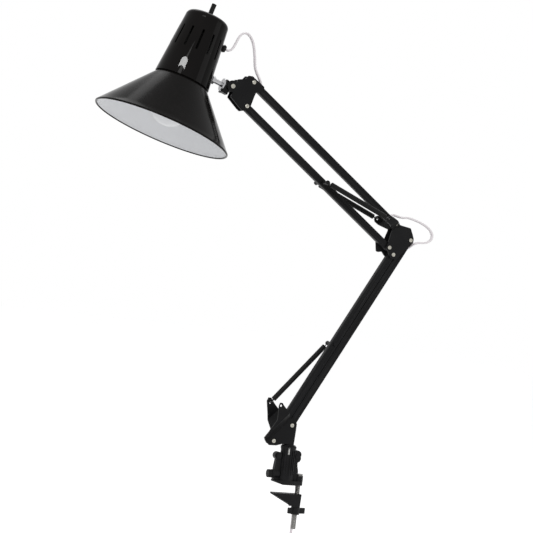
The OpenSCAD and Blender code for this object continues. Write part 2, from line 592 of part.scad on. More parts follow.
// A flat cord swept along points [x, y, z]; its wide side turns from side_a to side_b
corner_count = 8;
function flat_section(i) = let (a = 22.5 + 360 * i / corner_count)
  [cord_w / 2 / cos(22.5) * cos(a), cord_t / 2 / cos(22.5) * sin(a)];
function heading(p, i) = unit(p[min(i + 1, len(p) - 1)] - p[max(i - 1, 0)]);
function section_ring(p, i, side, shape) = let (t = heading(p, i), s = unit(side - (side * t) * t), n = cross(t, s))
  [for (q = shape) p[i] + q[0] * s + q[1] * n];
module sweep(p, sides, shape) {
  m = len(shape);
  k = len(p);
  points = [for (i = [0:k - 1]) each section_ring(p, i, sides[i], shape)];
  walls = [for (i = [0:k - 2]) for (j = [0:m - 1]) let (a = i * m + j, b = i * m + (j + 1) % m)
    each [[a, b, b + m], [a, b + m, a + m]]];
  start = [for (j = [1:m - 2]) [0, j + 1, j]];
  end = [for (j = [1:m - 2]) [(k - 1) * m, (k - 1) * m + j, (k - 1) * m + j + 1]];
  polyhedron(points = points, faces = [for (f = concat(walls, start, end)) reversed(f)], convexity = 10);
}
function turned(a, b, k) = [for (i = [0:k - 1]) let (w = i / (k - 1)) a * (1 - w) + b * w];
flat8 = [for (i = [0:corner_count - 1]) flat_section(i)];

head_route = [[-145.4, -4.4, 516.3], [-143.7, -4.7, 515.8], [-141.6, -4.9, 515.2], [-138.8, -5, 515.4],
  [-135.8, -4.8, 517.4], [-132.8, -4.4, 521.8],
  [-130, -3.8, 528.2], [-126.2, -3.2, 535.6], [-121, -2.6, 539.4], [-115.6, -2, 538.8], [-110.4, -1.4, 534],
  [-106.4, -0.8, 525.8], [-103.4, -0.4, 513.4], [-101.6, -0.1, 502.6], [-98.8, 0, 495.6], [-95.2, 0, 489.8],
  [-92.2, 0, 484.6], [-91.2, 0, 481], [-91.6, 0, 477.9]];
module cord_loop_head() color(cord_grey)
  sweep(head_route, turned([0.13, 1, -0.04], [0, 1, 0], len(head_route)), flat8);
elbow_route = [[102.6, 0, 343.1], [104.4, 0, 345], [107.4, 0, 346.1], [111, 0, 345.7], [115.6, 0.4, 344.8], [121.6, 1, 344.4],
  [127.9, 1.8, 345], [133.8, 2.4, 344.6], [142.3, 3, 342.8], [150.8, 3.4, 340.3], [158.5, 3.4, 336.8], [164.2, 3.2, 332.2],
  [166.9, 2.8, 326.8], [165.4, 2.2, 321.4], [161, 1.6, 317.8], [155.4, 1.1, 316.2], [149.1, 0.7, 315.6], [143.4, 0.3, 314.2],
  [139, 0, 311.8], [136, 0, 309.4], [133.2, 0, 307.4], [130, 0, 306.3]];
module cord_loop_elbow() color(cord_grey)
  sweep(elbow_route, turned([0, 1, 0], [0, 1, 0], len(elbow_route)), flat8);

// The lead leaves the base bracket through a relief, falls behind the clamp and is put away in a hank
relief_at = [cord_way[0], plate_out + fit, cord_way[1]];
relief_turn = 60;
relief_len = 22;
module lead_relief() color(black) translate(relief_at) rotate([0, 0, relief_turn]) rotate([0, 90, 0]) {
  difference() {
    union() {
      translate([0, 0, 2.2]) cylinder(r1 = 4.9, r2 = 3.7, h = relief_len - 2.2);
      translate([0, 0, 0.2]) cylinder(r = 5.8, h = 2.4);
    }
    translate([0, 0, relief_len - 6]) cube([cord_w + 2 * cord_room, cord_t + 2 * cord_room, 30], center = true);
    rotate([0, -90, 0]) rotate([0, 0, -relief_turn]) translate([-10, -20, -10]) cube([20, 20, 20]);
  }
}
lead_route = [[5.5, 21.2, 57], [7, 23.9, 57], [9, 27.4, 56.8], [11.4, 31, 55], [13.8, 34, 51.4], [16, 36, 46], [18.4, 37, 38],
  [21.2, 37, 29], [24.6, 36, 19], [28, 34.4, 9], [30.6, 32.8, -2], [31.8, 31.4, -14], [31.2, 30.4, -26], [30.2, 30, -38],
  [30, 30, -50], [30, 30, -62], [30, 30, -74], [30, 30, -86], [30, 30, -96]];
module mains_lead() color(cord_grey)
  sweep(lead_route, turned([0, 0, 1], [0, 1, 0], len(lead_route)), flat8);

// Hank: one tube that winds in through four loops, steps over and winds out again
hank_loops = 7;
loop_rings = 24;
fold_r = 16;
run_half = 20;
waist_in = 4.5;
loop_step = 3.5;
layer_step = cord_w + 0.6;
hank_top = lead_route[len(lead_route) - 1];
outer_r = fold_r + loop_step * hank_loops / 2;
hank_mid = [hank_top[0] - outer_r, hank_top[1], hank_top[2] - cord_w - run_half];
// u counts loops from 0 to hank_loops; each loop starts at the top of the right-hand run
function loop_r(u) = fold_r + loop_step * abs(hank_loops / 2 - u);
function layer_y(u) = let (w = min(max((u - hank_loops / 2 + 0.3) * 2.5, 0), 1)) layer_step * (3 * w * w - 2 * w * w * w);
function run_x(z) = -waist_in * pow(cos(90 * z / run_half), 2);
function loop_xz(f, r) = let (q = f * 4)
  q < 1 ? let (z = run_half * (1 - 2 * q)) [r + run_x(z), z]
  : q < 2 ? let (a = -180 * (q - 1)) [r * cos(a), -run_half + r * sin(a)]
  : q < 3 ? let (z = run_half * (2 * (q - 2) - 1)) [-r - run_x(z), z]
  : let (a = 180 - 180 * (q - 3)) [r * cos(a), run_half + r * sin(a)];
function hank_point(u) = let (p = loop_xz(u - floor(u), loop_r(u)))
  hank_mid + [p[0], layer_y(u), p[1]];
hank_end_u = hank_loops + 0.25;
hank_tail = 14;
hank_last = hank_point(hank_end_u - 0.0001);
hank_path = concat([hank_top], [for (i = [0:hank_loops * loop_rings + loop_rings / 4 - 1]) hank_point(i / loop_rings)],
  [hank_last, hank_last - [0, 0, cord_w], hank_last - [0, 0, hank_tail]]);
flat6 = [[cord_w / 2, 0], [cord_w / 4, cord_t / 2], [-cord_w / 4, cord_t / 2], [-cord_w / 2, 0],
  [-cord_w / 4, -cord_t / 2], [cord_w / 4, -cord_t / 2]];
module lead_hank() color(cord_grey) sweep(hank_path, turned([0, 1, 0], [0, 1, 0], len(hank_path)), flat6);
loop_gap = min([for (u = [0:1 / loop_rings:hank_loops / 2 - 1]) norm(hank_point(u) - hank_point(u + 1)) - cord_t]);
echo("least gap between loops side by side", loop_gap);
echo("gap between the two layers", layer_step - cord_w);
echo("lead and hank length", path_len(lead_route) + path_len(hank_path));
echo("head loop length", path_len(head_route));
echo("elbow loop length", path_len(elbow_route));

tie_h = 9;
tie_wall = 1.4;
tie_x = loop_r(hank_end_u) + run_x(tie_h / 2) + cord_t / 2 + hair;
module hank_tie() color(black) translate(hank_mid + [0, layer_step / 2, 0]) difference() {
  cube([2 * (tie_x + tie_wall), layer_step + cord_w + 2 * (hair + tie_wall), tie_h], center = true);
  cube([2 * tie_x, layer_step + cord_w + 2 * hair, tie_h + 2], center = true);
}

plug_at = hank_last - [0, 0, hank_tail];
plug_len = 28;
module plug_body() color(cord_grey) translate(plug_at) mirror([0, 0, 1]) difference() {
  hull() {
    translate([0, 0, 0]) cylinder(r = 4, h = 1, $fn = 32);
    for (x = [-7, 7]) translate([x, 0, 10]) cylinder(r = 6, h = plug_len - 10, $fn = 32);
  }
  for (x = [-blade_gap, blade_gap]) translate([x - blade_t / 2 - fit, -blade_w / 2 - fit, plug_len - 8])
    cube([blade_t + 2 * fit, blade_w + 2 * fit, 20]);
}
blade_gap = 6.35;
blade_t = 1.5;
blade_w = 6.35;
blade_out = 16;
module plug_blades() color("goldenrod") translate(plug_at) mirror([0, 0, 1])
  for (x = [-blade_gap, blade_gap]) translate([x - blade_t / 2, -blade_w / 2, plug_len - 7.9])
    cube([blade_t, blade_w, blade_out + 7.9]);

clamp_body();
socket_bush();
clamp_bolt();
lobe_screws();
lower_jaw();
lever_nut();
lock_knob();
swivel_post();
base_plate_front();
base_plate_back();
base_block();
base_rivets();
lead_relief();
lower_spring_back();
lower_sleeve_back();
lower_bar();
lower_spring_pin();
lower_link_bar();
flex_in_lower_bar();
elbow_plate_front();
elbow_plate_back();
elbow_spacer();
elbow_rivets();
upper_spring_front();
upper_spring_back();
upper_sleeve_front();
upper_sleeve_back();
cord_loop_elbow();
upper_bar();
upper_spring_pin();
upper_link_bar();
flex_in_upper_bar();
head_plate_front();
head_plate_back();
head_rivets();
tilt_bolt();
tilt_nut();
tilt_knuckle();
shade_stem();
stem_nut();
shade_cap();
shade_cone();
holder_bracket();
lampholder();
holder_shell();
holder_contact();
bulb_cap();
bulb_glass();
switch_nut();
cord_grommet();
cord_loop_head();
switch_knob();
mains_lead();
lead_hank();
hank_tie();
plug_body();
plug_blades();
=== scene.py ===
import math
import bmesh
import bpy
from mathutils import Matrix, Vector


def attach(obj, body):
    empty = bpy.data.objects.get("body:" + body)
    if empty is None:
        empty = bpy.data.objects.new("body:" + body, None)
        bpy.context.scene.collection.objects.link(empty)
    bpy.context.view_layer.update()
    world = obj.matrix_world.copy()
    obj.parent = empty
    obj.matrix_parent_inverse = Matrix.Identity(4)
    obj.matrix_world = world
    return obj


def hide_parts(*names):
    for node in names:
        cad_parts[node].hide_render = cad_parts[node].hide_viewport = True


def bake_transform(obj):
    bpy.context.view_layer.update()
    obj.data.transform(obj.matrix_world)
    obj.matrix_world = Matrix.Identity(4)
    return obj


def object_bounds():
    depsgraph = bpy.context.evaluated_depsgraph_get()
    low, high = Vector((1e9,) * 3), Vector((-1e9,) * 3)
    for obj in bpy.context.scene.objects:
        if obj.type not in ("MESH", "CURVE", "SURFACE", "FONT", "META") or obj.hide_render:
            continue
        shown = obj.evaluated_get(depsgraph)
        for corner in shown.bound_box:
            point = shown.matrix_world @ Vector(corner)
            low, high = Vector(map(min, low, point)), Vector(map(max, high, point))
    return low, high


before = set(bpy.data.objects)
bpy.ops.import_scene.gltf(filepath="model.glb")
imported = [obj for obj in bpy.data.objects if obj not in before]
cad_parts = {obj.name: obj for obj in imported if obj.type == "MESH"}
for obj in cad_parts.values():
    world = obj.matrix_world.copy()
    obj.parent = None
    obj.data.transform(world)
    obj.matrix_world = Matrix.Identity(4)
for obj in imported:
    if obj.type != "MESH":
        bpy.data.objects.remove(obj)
cadBox = [list(corner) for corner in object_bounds()]
mm = 0.001

# the lamp's sizes, angles and steps from one pivot to the next as [x, z], the same as in the part's source
lamp = {
    "lowerLength": 278.4, "upperLength": 258.7, "lowerAngle": 61.2, "upperAngle": 145.2, "pivotSpread": 30.3,
    "lowerSpreadAngle": 42.9, "upperSpreadAngle": 79.2, "lowerFoot": (-23.8, 52.6), "elbowStep": (-6.5, 8.3),
    "tiltStep": (-26.7, -8.7), "lowerEarStep": (-0.2, 44.4), "upperEarStep": (-9.9, 34.7), "lowerPinAlong": 142.3,
    "upperPinAlong": 121, "barHeight": 9.0, "barDepth": 8.0, "earOut": 16.95, "shadeLean": 17.3, "knuckleAt": 59.4,
    "tiltUp": 16.8,
}


def polar(radius, degrees):
    return Vector((radius * math.cos(math.radians(degrees)), radius * math.sin(math.radians(degrees))))


lowerFoot = Vector(lamp["lowerFoot"])
lowerLinkFoot = lowerFoot + polar(lamp["pivotSpread"], lamp["lowerSpreadAngle"])
lowerHead = lowerFoot + polar(lamp["lowerLength"], lamp["lowerAngle"])
upperFoot = lowerHead + Vector(lamp["elbowStep"])
upperLinkFoot = upperFoot + polar(lamp["pivotSpread"], lamp["upperSpreadAngle"])
upperLinkHead = upperLinkFoot + polar(lamp["upperLength"], lamp["upperAngle"])
tiltAt = upperLinkHead + Vector(lamp["tiltStep"])
lowerEar = lowerFoot + Vector(lamp["lowerEarStep"])
upperEar = upperFoot + Vector(lamp["upperEarStep"])
lowerPin = lowerFoot + polar(lamp["lowerPinAlong"], lamp["lowerAngle"])
upperPin = upperFoot + polar(lamp["upperPinAlong"], lamp["upperAngle"])

lean = math.radians(lamp["shadeLean"])
neckAt = tiltAt - Vector((math.cos(lean) * lamp["knuckleAt"] + math.sin(lean) * lamp["tiltUp"],
                          -math.sin(lean) * lamp["knuckleAt"] + math.cos(lean) * lamp["tiltUp"]))
shadePlace = Matrix.Translation((neckAt.x * mm, 0, neckAt.y * mm)) @ Matrix.Rotation(lean, 4, "Y")


def inPlane(point, angle, y=0.0):
    # a frame at a point of the arms' plane, X turned up by angle
    return Matrix.Translation((point.x * mm, y * mm, point.y * mm)) @ Matrix.Rotation(-math.radians(angle), 4, "Y")


# camera
cameraValues = {"azimuth": -23.0, "elevation": -0.5, "roll": 6.5, "distance": 2.1, "span": 0.65,
                "lookAt": (-0.05671, 0, 0.26335), "sensor": 36, "near": 0.05, "far": 50}


def makeCamera(v):
    a, e = math.radians(v["azimuth"]), math.radians(v["elevation"])
    back = Vector((math.sin(a) * math.cos(e), -math.cos(a) * math.cos(e), math.sin(e)))
    data = bpy.data.cameras.new("camera")
    data.sensor_width = v["sensor"]
    data.lens = v["sensor"] * v["distance"] / v["span"]
    data.clip_start, data.clip_end = v["near"], v["far"]
    cam = bpy.data.objects.new("camera", data)
    bpy.context.scene.collection.objects.link(cam)
    turn = (-back).to_track_quat("-Z", "Y").to_matrix().to_4x4() @ Matrix.Rotation(math.radians(v["roll"]), 4, "Z")
    cam.matrix_world = Matrix.Translation(Vector(v["lookAt"]) + back * v["distance"]) @ turn
    bpy.context.scene.camera = cam


makeCamera(cameraValues)
print("camera made")


# small helpers for meshes and node trees

def addObject(name, mesh):
    obj = bpy.data.objects.new(name, mesh)
    bpy.context.scene.collection.objects.link(obj)
    return obj


def meshFrom(name, points, faces, smooth=True):
    mesh = bpy.data.meshes.new(name)
    mesh.from_pydata([tuple(p) for p in points], [], faces)
    mesh.polygons.foreach_set("use_smooth", [smooth] * len(mesh.polygons))
    mesh.update()
    return mesh


def tidyNormals(mesh, weld=1e-6):
    bm = bmesh.new()
    bm.from_mesh(mesh)
    bmesh.ops.remove_doubles(bm, verts=bm.verts, dist=weld)
    bmesh.ops.recalc_face_normals(bm, faces=bm.faces)
    bm.to_mesh(mesh)
    bm.free()
    mesh.update()


def bakeModifiers(obj):
    # turns what the modifiers make into the object's own mesh
    graph = bpy.context.evaluated_depsgraph_get()
    made = bpy.data.meshes.new_from_object(obj.evaluated_get(graph), preserve_all_data_layers=True, depsgraph=graph)
    old = obj.data
    obj.modifiers.clear()
    obj.data = made
    bpy.data.meshes.remove(old)
    return obj


def edgeRound(obj, width, segments=2, angle=35):
    bevel = obj.modifiers.new("edges", "BEVEL")
    bevel.width = width * mm
    bevel.segments = segments
    bevel.limit_method = "ANGLE"
    bevel.angle_limit = math.radians(angle)
    bevel.miter_outer = "MITER_ARC"
    weighted = obj.modifiers.new("shading", "WEIGHTED_NORMAL")
    weighted.keep_sharp = True


def sharpFrom(mesh, angle):
    mesh.set_sharp_from_angle(angle=math.radians(angle))


def joinMeshes(name, meshes):
    bm = bmesh.new()
    for part in meshes:
        bm.from_mesh(part)
    mesh = bpy.data.meshes.new(name)
    bm.to_mesh(mesh)
    bm.free()
    for part in meshes:
        bpy.data.meshes.remove(part)
    return mesh


def tubeMesh(name, rings, weld):
    # closes a row of rings, each with as many points, into a solid with flat ends
    m = len(rings[0])
    faces = []
    for i in range(len(rings) - 1):
        for j in range(m):
            a, b = i * m + j, i * m + (j + 1) % m
            faces.append((a, b, b + m, a + m))
    faces.append(tuple(range(m)))
    faces.append(tuple((len(rings) - 1) * m + j for j in reversed(range(m))))
    mesh = meshFrom(name, [p for ring in rings for p in ring], faces)
    tidyNormals(mesh, weld)
    return mesh


def spin(name, profile, steps, closed=False):
    # profile is [(radius, height)] in millimetres; a radius of 0 closes on the axis
    points, faces, rings = [], [], []
    for r, z in profile:
        if r < 1e-6:
            rings.append([len(points)])
            points.append((0, 0, z * mm))
        else:
            rings.append(list(range(len(points), len(points) + steps)))
            for k in range(steps):
                a = 2 * math.pi * k / steps
                points.append((r * mm * math.cos(a), r * mm * math.sin(a), z * mm))
    pairs = list(zip(rings, rings[1:] + rings[:1])) if closed else list(zip(rings, rings[1:]))
    for low, high in pairs:
        if len(low) == 1 and len(high) == 1:
            continue
        for k in range(steps):
            n = (k + 1) % steps
            if len(low) == 1:
                faces.append((low[0], high[k], high[n]))
            elif len(high) == 1:
                faces.append((low[k], low[n], high[0]))
            else:
                faces.append((low[k], low[n], high[n], high[k]))
    mesh = meshFrom(name, points, faces)
    tidyNormals(mesh)
    return mesh


def shaped(mesh, material, body, replaces):
    # gives a finished mesh its object, material, body and the nodes it stands for
    obj = mesh if isinstance(mesh, bpy.types.Object) else addObject(mesh.name, mesh)
    obj.data.materials.append(material)
    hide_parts(*replaces)
    if body:
        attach(obj, body)
    return obj


def newTree(treeKind, name, inputs, outputs):
    # a node tree with named sockets; returns the tree and its group nodes
    tree = bpy.data.node_groups.new(name, treeKind)
    for label, kind, value in inputs:
        socket = tree.interface.new_socket(label, in_out="INPUT", socket_type="NodeSocket" + kind)
        if value is not None:
            socket.default_value = value
    for label, kind in outputs:
        tree.interface.new_socket(label, in_out="OUTPUT", socket_type="NodeSocket" + kind)
    return tree, tree.nodes.new("NodeGroupInput"), tree.nodes.new("NodeGroupOutput")


def meshTree(name, inputs):
    # a tree for meshes, which also takes the material that it paints with
    geometry = ("Geometry", "Geometry")
    sockets = [(*geometry, None)] + inputs + [("Material", "Material", None)]
    return newTree("GeometryNodeTree", name, sockets, [geometry])


def addNode(tree, kind, inputs, **settings):
    # a node with its settings, each input a plain value or another node's output
    node = tree.nodes.new(kind)
    for key, value in settings.items():
        setattr(node, key, value)
    for label, value in inputs.items():
        if hasattr(value, "is_linked"):
            tree.links.new(value, node.inputs[label])
        elif value is not None:
            node.inputs[label].default_value = value
    return node


def finishTree(tree, geometry, given, output):
    realize = addNode(tree, "GeometryNodeRealizeInstances", {0: geometry})
    paint = addNode(tree, "GeometryNodeSetMaterial", {0: realize.outputs[0], "Material": given.outputs["Material"]})
    tree.links.new(paint.outputs[0], output.inputs[0])


def runTree(name, tree, values):
    # runs a tree on an empty mesh and keeps the plain result
    obj = addObject(name, bpy.data.meshes.new(name))
    modifier = obj.modifiers.new("tree", "NODES")
    modifier.node_group = tree
    for item in tree.interface.items_tree:
        if item.item_type == "SOCKET" and item.in_out == "INPUT" and item.name in values:
            modifier[item.identifier] = values[item.name]
    return bakeModifiers(obj)


def noiseNode(tree, vector, scale, detail=3.0, rough=0.5):
    inputs = {"Vector": vector, "Scale": scale, "Detail": detail, "Roughness": rough}
    return addNode(tree, "ShaderNodeTexNoise", inputs).outputs["Fac"]


def mathNode(tree, operation, a, b=None, clamp=False):
    return addNode(tree, "ShaderNodeMath", {0: a, 1: b}, operation=operation, use_clamp=clamp).outputs[0]


def mixColour(tree, factor, a, b):
    a, b = (colour if hasattr(colour, "is_linked") else (*colour, 1.0) for colour in (a, b))
    return addNode(tree, "ShaderNodeMix", {0: factor, 6: a, 7: b}, data_type="RGBA").outputs[2]


def remap(tree, value, low, high, toLow, toHigh):
    inputs = dict(enumerate((value, low, high, toLow, toHigh)))
    return addNode(tree, "ShaderNodeMapRange", inputs).outputs[0]


# what all finishes share; ranges are from low and high to their new low and high

surfaceValues = {
    "fineTimes": 22.0, "facingUp": (0.2, 1.0, 0.0, 1.0), "speck": (0.45, 0.75, 0.2, 1.0),
    "stain": (0.42, 0.68, 0.0, 1.0), "uneven": (0.3, 0.7), "lines": (0.5, 0.72, 0.0, 1.0), "lineDepth": 0.6,
    "lineRough": 0.12, "dustRough": 0.3, "dustColour": (0.3, 0.28, 0.26),
}
# the thread's painted shade: darker in its roots and where the rod turns away from view
threadValues = {
    "root": (-1.0, 0.2, 1.0, 0.0), "rootShadeShare": 0.5, "away": (0.35, 0.75, 0.0, 1.0), "bump": 0.25,
    "bumpStrength": 0.8, "dark": (0.03, 0.03, 0.028),
}


def makeWander(v):
    # uneven handling marks: a slow stain, a fine speckle and dust that settles on what faces up
    tree, given, out = newTree("ShaderNodeTree", "handledSurface",
                               [("Scale", "Float", 60.0), ("Rub", "Float", 0.5), ("Dust", "Float", 0.3)],
                               [("Stain", "Float"), ("Grain", "Float"), ("Settled", "Float"), ("Uneven", "Float")])
    place = tree.nodes.new("ShaderNodeTexCoord").outputs["Object"]
    slow = noiseNode(tree, place, given.outputs["Scale"], 4.0, 0.6)
    fine = noiseNode(tree, place, mathNode(tree, "MULTIPLY", given.outputs["Scale"], v["fineTimes"]), 2.0)
    normal = tree.nodes.new("ShaderNodeNewGeometry").outputs["Normal"]
    up = remap(tree, addNode(tree, "ShaderNodeSeparateXYZ", {0: normal}).outputs["Z"], *v["facingUp"])
    dust = mathNode(tree, "MULTIPLY", up, remap(tree, fine, *v["speck"]))
    settled = mathNode(tree, "MULTIPLY", dust, given.outputs["Dust"], clamp=True)
    stain = mathNode(tree, "MULTIPLY", remap(tree, slow, *v["stain"]), given.outputs["Rub"], clamp=True)
    for label, value in (("Stain", stain), ("Grain", fine), ("Settled", settled), ("Uneven", slow)):
        tree.links.new(value, out.inputs[label])
    return tree


def makeScratches(v):
    # long fine lines, as drawn or turned metal has
    sockets = [("Along", "Vector", (1.0, 1.0, 40.0)), ("Scale", "Float", 90.0), ("Amount", "Float", 0.5)]
    tree, given, out = newTree("ShaderNodeTree", "fineLines", sockets, [("Lines", "Float")])
    place = tree.nodes.new("ShaderNodeTexCoord").outputs["Object"]
    stretch = addNode(tree, "ShaderNodeVectorMath", {0: place, 1: given.outputs["Along"]}, operation="MULTIPLY")
    lines = remap(tree, noiseNode(tree, stretch.outputs[0], given.outputs["Scale"], 3.0, 0.7), *v["lines"])
    tree.links.new(mathNode(tree, "MULTIPLY", lines, given.outputs["Amount"], clamp=True), out.inputs["Lines"])
    return tree


wanderGroup, lineGroup = makeWander(surfaceValues), makeScratches(surfaceValues)


def threads(tree, pitch, depth, v):
    # an upright screw thread as a height, with painted shade in its roots and painted shade where the rod turns away
    # from view
    place = tree.nodes.new("ShaderNodeTexCoord").outputs["Object"]
    along = addNode(tree, "ShaderNodeSeparateXYZ", {0: place}).outputs["Z"]
    wave = mathNode(tree, "SINE", mathNode(tree, "MULTIPLY", along, 2 * math.pi / (pitch * mm)))
    root = mathNode(tree, "MULTIPLY", remap(tree, wave, *v["root"]), v["rootShadeShare"])
    facing = addNode(tree, "ShaderNodeLayerWeight", {"Blend": 0.5}).outputs["Facing"]
    away = mathNode(tree, "MULTIPLY", remap(tree, facing, *v["away"]), depth)
    return wave, mathNode(tree, "MAXIMUM", root, away, clamp=True)


def finish(name, v, shared):
    # one Principled material from a dictionary: colours, roughness spread, bump, metal
    mat = bpy.data.materials.new(name)
    mat.use_nodes = True
    tree = mat.node_tree
    shader = tree.nodes["Principled BSDF"]
    marks = {"Scale": v.get("patch", 60.0), "Rub": v.get("rub", 0.5), "Dust": v.get("dust", 0.2)}
    wander = addNode(tree, "ShaderNodeGroup", marks, node_tree=wanderGroup).outputs
    colour = mixColour(tree, wander["Stain"], v["colour"], v["worn"])
    colour = mixColour(tree, wander["Settled"], colour, shared["dustColour"])
    rough = remap(tree, wander["Uneven"], *shared["uneven"], v["smooth"], v["rough"])
    dustRough = mathNode(tree, "MULTIPLY", wander["Settled"], shared["dustRough"])
    rough = mathNode(tree, "ADD", rough, dustRough, clamp=True)
    height, bumpValues = wander["Grain"], v
    if "lines" in v:
        drawn = {"Along": v["lines"], "Amount": shared["lineDepth"]}
        lines = addNode(tree, "ShaderNodeGroup", drawn, node_tree=lineGroup).outputs["Lines"]
        rough = mathNode(tree, "ADD", rough, mathNode(tree, "MULTIPLY", lines, shared["lineRough"]), clamp=True)
        height = mathNode(tree, "SUBTRACT", height, lines)
    if "pitch" in v:
        # painted shade on the thread: its roots and the sides turned away are darkened in the colour
        turns, dark = threads(tree, v["pitch"], v["paintedShadeStrength"], threadValues)
        height = mathNode(tree, "ADD", height, turns)
        colour = mixColour(tree, dark, colour, threadValues["dark"])
        bumpValues = threadValues
    bump = addNode(tree, "ShaderNodeBump", {"Distance": bumpValues.get("bump", 0.02) * mm, "Height": height,
                                            "Strength": bumpValues.get("bumpStrength", 0.3)})
    for label, value in (("Base Color", colour), ("Roughness", rough), ("Normal", bump.outputs[0])):
        tree.links.new(value, shader.inputs[label])
    for label, key, usual in (("Metallic", "metal", 0.0), ("Specular IOR Level", "specular", 0.5),
                              ("Transmission Weight", "transmission", 0.0)):
        shader.inputs[label].default_value = v.get(key, usual)
    return mat


finishValues = {
    "blackPaint": {"colour": (0.0075, 0.0075, 0.008), "worn": (0.011, 0.011, 0.0115), "smooth": 0.3, "rough": 0.42,
                   "bump": 0.03, "bumpStrength": 0.25, "patch": 45.0, "rub": 0.6, "dust": 0.04, "specular": 0.08},
    "blackGloss": {"colour": (0.004, 0.0036, 0.0035), "worn": (0.006, 0.0052, 0.005), "smooth": 0.12, "rough": 0.18,
                   "bump": 0.02, "bumpStrength": 0.1, "patch": 25.0, "dust": 0.02, "specular": 0.05},
    "capGloss": {"colour": (0.004, 0.0036, 0.0035), "worn": (0.006, 0.0052, 0.005), "smooth": 0.012, "rough": 0.022,
                 "bump": 0.002, "bumpStrength": 0.05, "patch": 25.0, "dust": 0.0, "specular": 0.05},
    "shadeInside": {"colour": (0.8, 0.81, 0.83), "worn": (0.77, 0.78, 0.8), "smooth": 0.4, "rough": 0.55,
                    "bumpStrength": 0.1, "patch": 30.0, "rub": 0.4, "dust": 0.0},
    "blackCast": {"colour": (0.0075, 0.0075, 0.008), "worn": (0.014, 0.014, 0.0145), "smooth": 0.34, "rough": 0.5,
                  "bump": 0.12, "bumpStrength": 0.5, "rub": 0.6, "dust": 0.06, "specular": 0.1},
    "brightSteel": {"colour": (0.42, 0.42, 0.43), "worn": (0.22, 0.22, 0.23), "smooth": 0.16, "rough": 0.3,
                    "metal": 1.0, "patch": 120.0, "dust": 0.02, "lines": (40.0, 40.0, 1.0)},
    "platedSteel": {"colour": (0.44, 0.43, 0.38), "worn": (0.24, 0.23, 0.2), "smooth": 0.2, "rough": 0.36,
                    "metal": 1.0, "patch": 260.0, "rub": 0.8, "dust": 0.02},
    "brass": {"colour": (0.7, 0.5, 0.22), "worn": (0.45, 0.32, 0.14), "smooth": 0.2, "rough": 0.35, "metal": 1.0,
              "patch": 120.0, "dust": 0.0},
    "aluminium": {"colour": (0.7, 0.7, 0.71), "worn": (0.5, 0.5, 0.5), "smooth": 0.25, "rough": 0.4, "metal": 1.0,
                  "patch": 120.0, "dust": 0.0},
    "frostedGlass": {"colour": (0.88, 0.89, 0.91), "worn": (0.85, 0.86, 0.88), "smooth": 0.25, "rough": 0.34,
                     "bump": 0.01, "bumpStrength": 0.05, "patch": 40.0, "dust": 0.0, "transmission": 0.1},
    "blackPlastic": {"colour": (0.007, 0.007, 0.007), "worn": (0.012, 0.012, 0.012), "smooth": 0.4, "rough": 0.54,
                     "bump": 0.04, "patch": 80.0, "dust": 0.04, "specular": 0.1},
    "whitePlastic": {"colour": (0.8, 0.8, 0.77), "worn": (0.7, 0.7, 0.66), "smooth": 0.3, "rough": 0.42,
                     "patch": 80.0, "dust": 0.02},
    "greyCord": {"colour": (0.8, 0.76, 0.78), "worn": (0.76, 0.715, 0.74), "smooth": 0.4, "rough": 0.5, "bump": 0.01,
                 "bumpStrength": 0.12, "dust": 0.02},
    # the bolt's thread carries painted shade in its roots and where it turns away
    "threadedSteel": {"colour": (0.3, 0.295, 0.285), "worn": (0.2, 0.195, 0.185), "smooth": 0.22, "rough": 0.38,
                      "metal": 1.0, "patch": 150.0, "dust": 0.02, "pitch": 1.0, "paintedShadeStrength": 0.75},
    "springSteel": {"colour": (0.07, 0.07, 0.072), "worn": (0.035, 0.035, 0.036), "smooth": 0.22, "rough": 0.38,
                    "metal": 1.0, "patch": 200.0, "dust": 0.02},
}
finishes = {name: finish(name, v, surfaceValues) for name, v in finishValues.items()}
print("finishes made")

# cords: a flat twin lead, its section in millimetres; the routes are the part's source's, in metres

cordValues = {"width": 5.3, "thickness": 2.7, "waist": 0.22, "valley": 0.75, "sideRound": 0.72, "faceRound": 0.8,
              "ringSides": 20, "between": 3}
headRoute = [(-.1454, -.0044, .5163), (-.1437, -.0047, .5158), (-.1416, -.0049, .5152), (-.1388, -.005, .5154),
             (-.1358, -.0048, .5174), (-.1328, -.0044, .5218), (-.13, -.0038, .5282), (-.1262, -.0032, .5356),
             (-.121, -.0026, .5394), (-.1156, -.002, .5388), (-.1104, -.0014, .534), (-.1064, -.0008, .5258),
             (-.1034, -.0004, .5134), (-.1016, -.0001, .5026), (-.0988, 0, .4956), (-.0952, 0, .4898),
             (-.0922, 0, .4846), (-.0912, 0, .481), (-.0916, 0, .4779)]
elbowRoute = [(.1026, 0, .3431), (.1044, 0, .345), (.1074, 0, .3461), (.111, 0, .3457), (.1156, .0004, .3448),
              (.1216, .001, .3444), (.1279, .0018, .345), (.1338, .0024, .3446), (.1423, .003, .3428),
              (.1508, .0034, .3403), (.1585, .0034, .3368), (.1642, .0032, .3322), (.1669, .0028, .3268),
              (.1654, .0022, .3214), (.161, .0016, .3178), (.1554, .0011, .3162), (.1491, .0007, .3156),
              (.1434, .0003, .3142), (.139, 0, .3118), (.136, 0, .3094), (.1332, 0, .3074), (.13, 0, .3063)]
leadRoute = [(.0055, .0212, .057), (.007, .0239, .057), (.009, .0274, .0568), (.0114, .031, .055),
             (.0138, .034, .0514), (.016, .036, .046), (.0184, .037, .038), (.0212, .037, .029),
             (.0246, .036, .019), (.028, .0344, .009), (.0306, .0328, -.002), (.0318, .0314, -.014),
             (.0312, .0304, -.026), (.0302, .03, -.038), (.03, .03, -.05), (.03, .03, -.062),
             (.03, .03, -.074), (.03, .03, -.086), (.03, .03, -.096)]
hank = {"loops": 7, "perLoop": 24, "foldRadius": 16, "runHalf": 20, "waistIn": 4.5, "step": 3.5, "tail": 14,
        "layerGap": 0.6, "crossEarly": 0.3, "crossRate": 2.5}


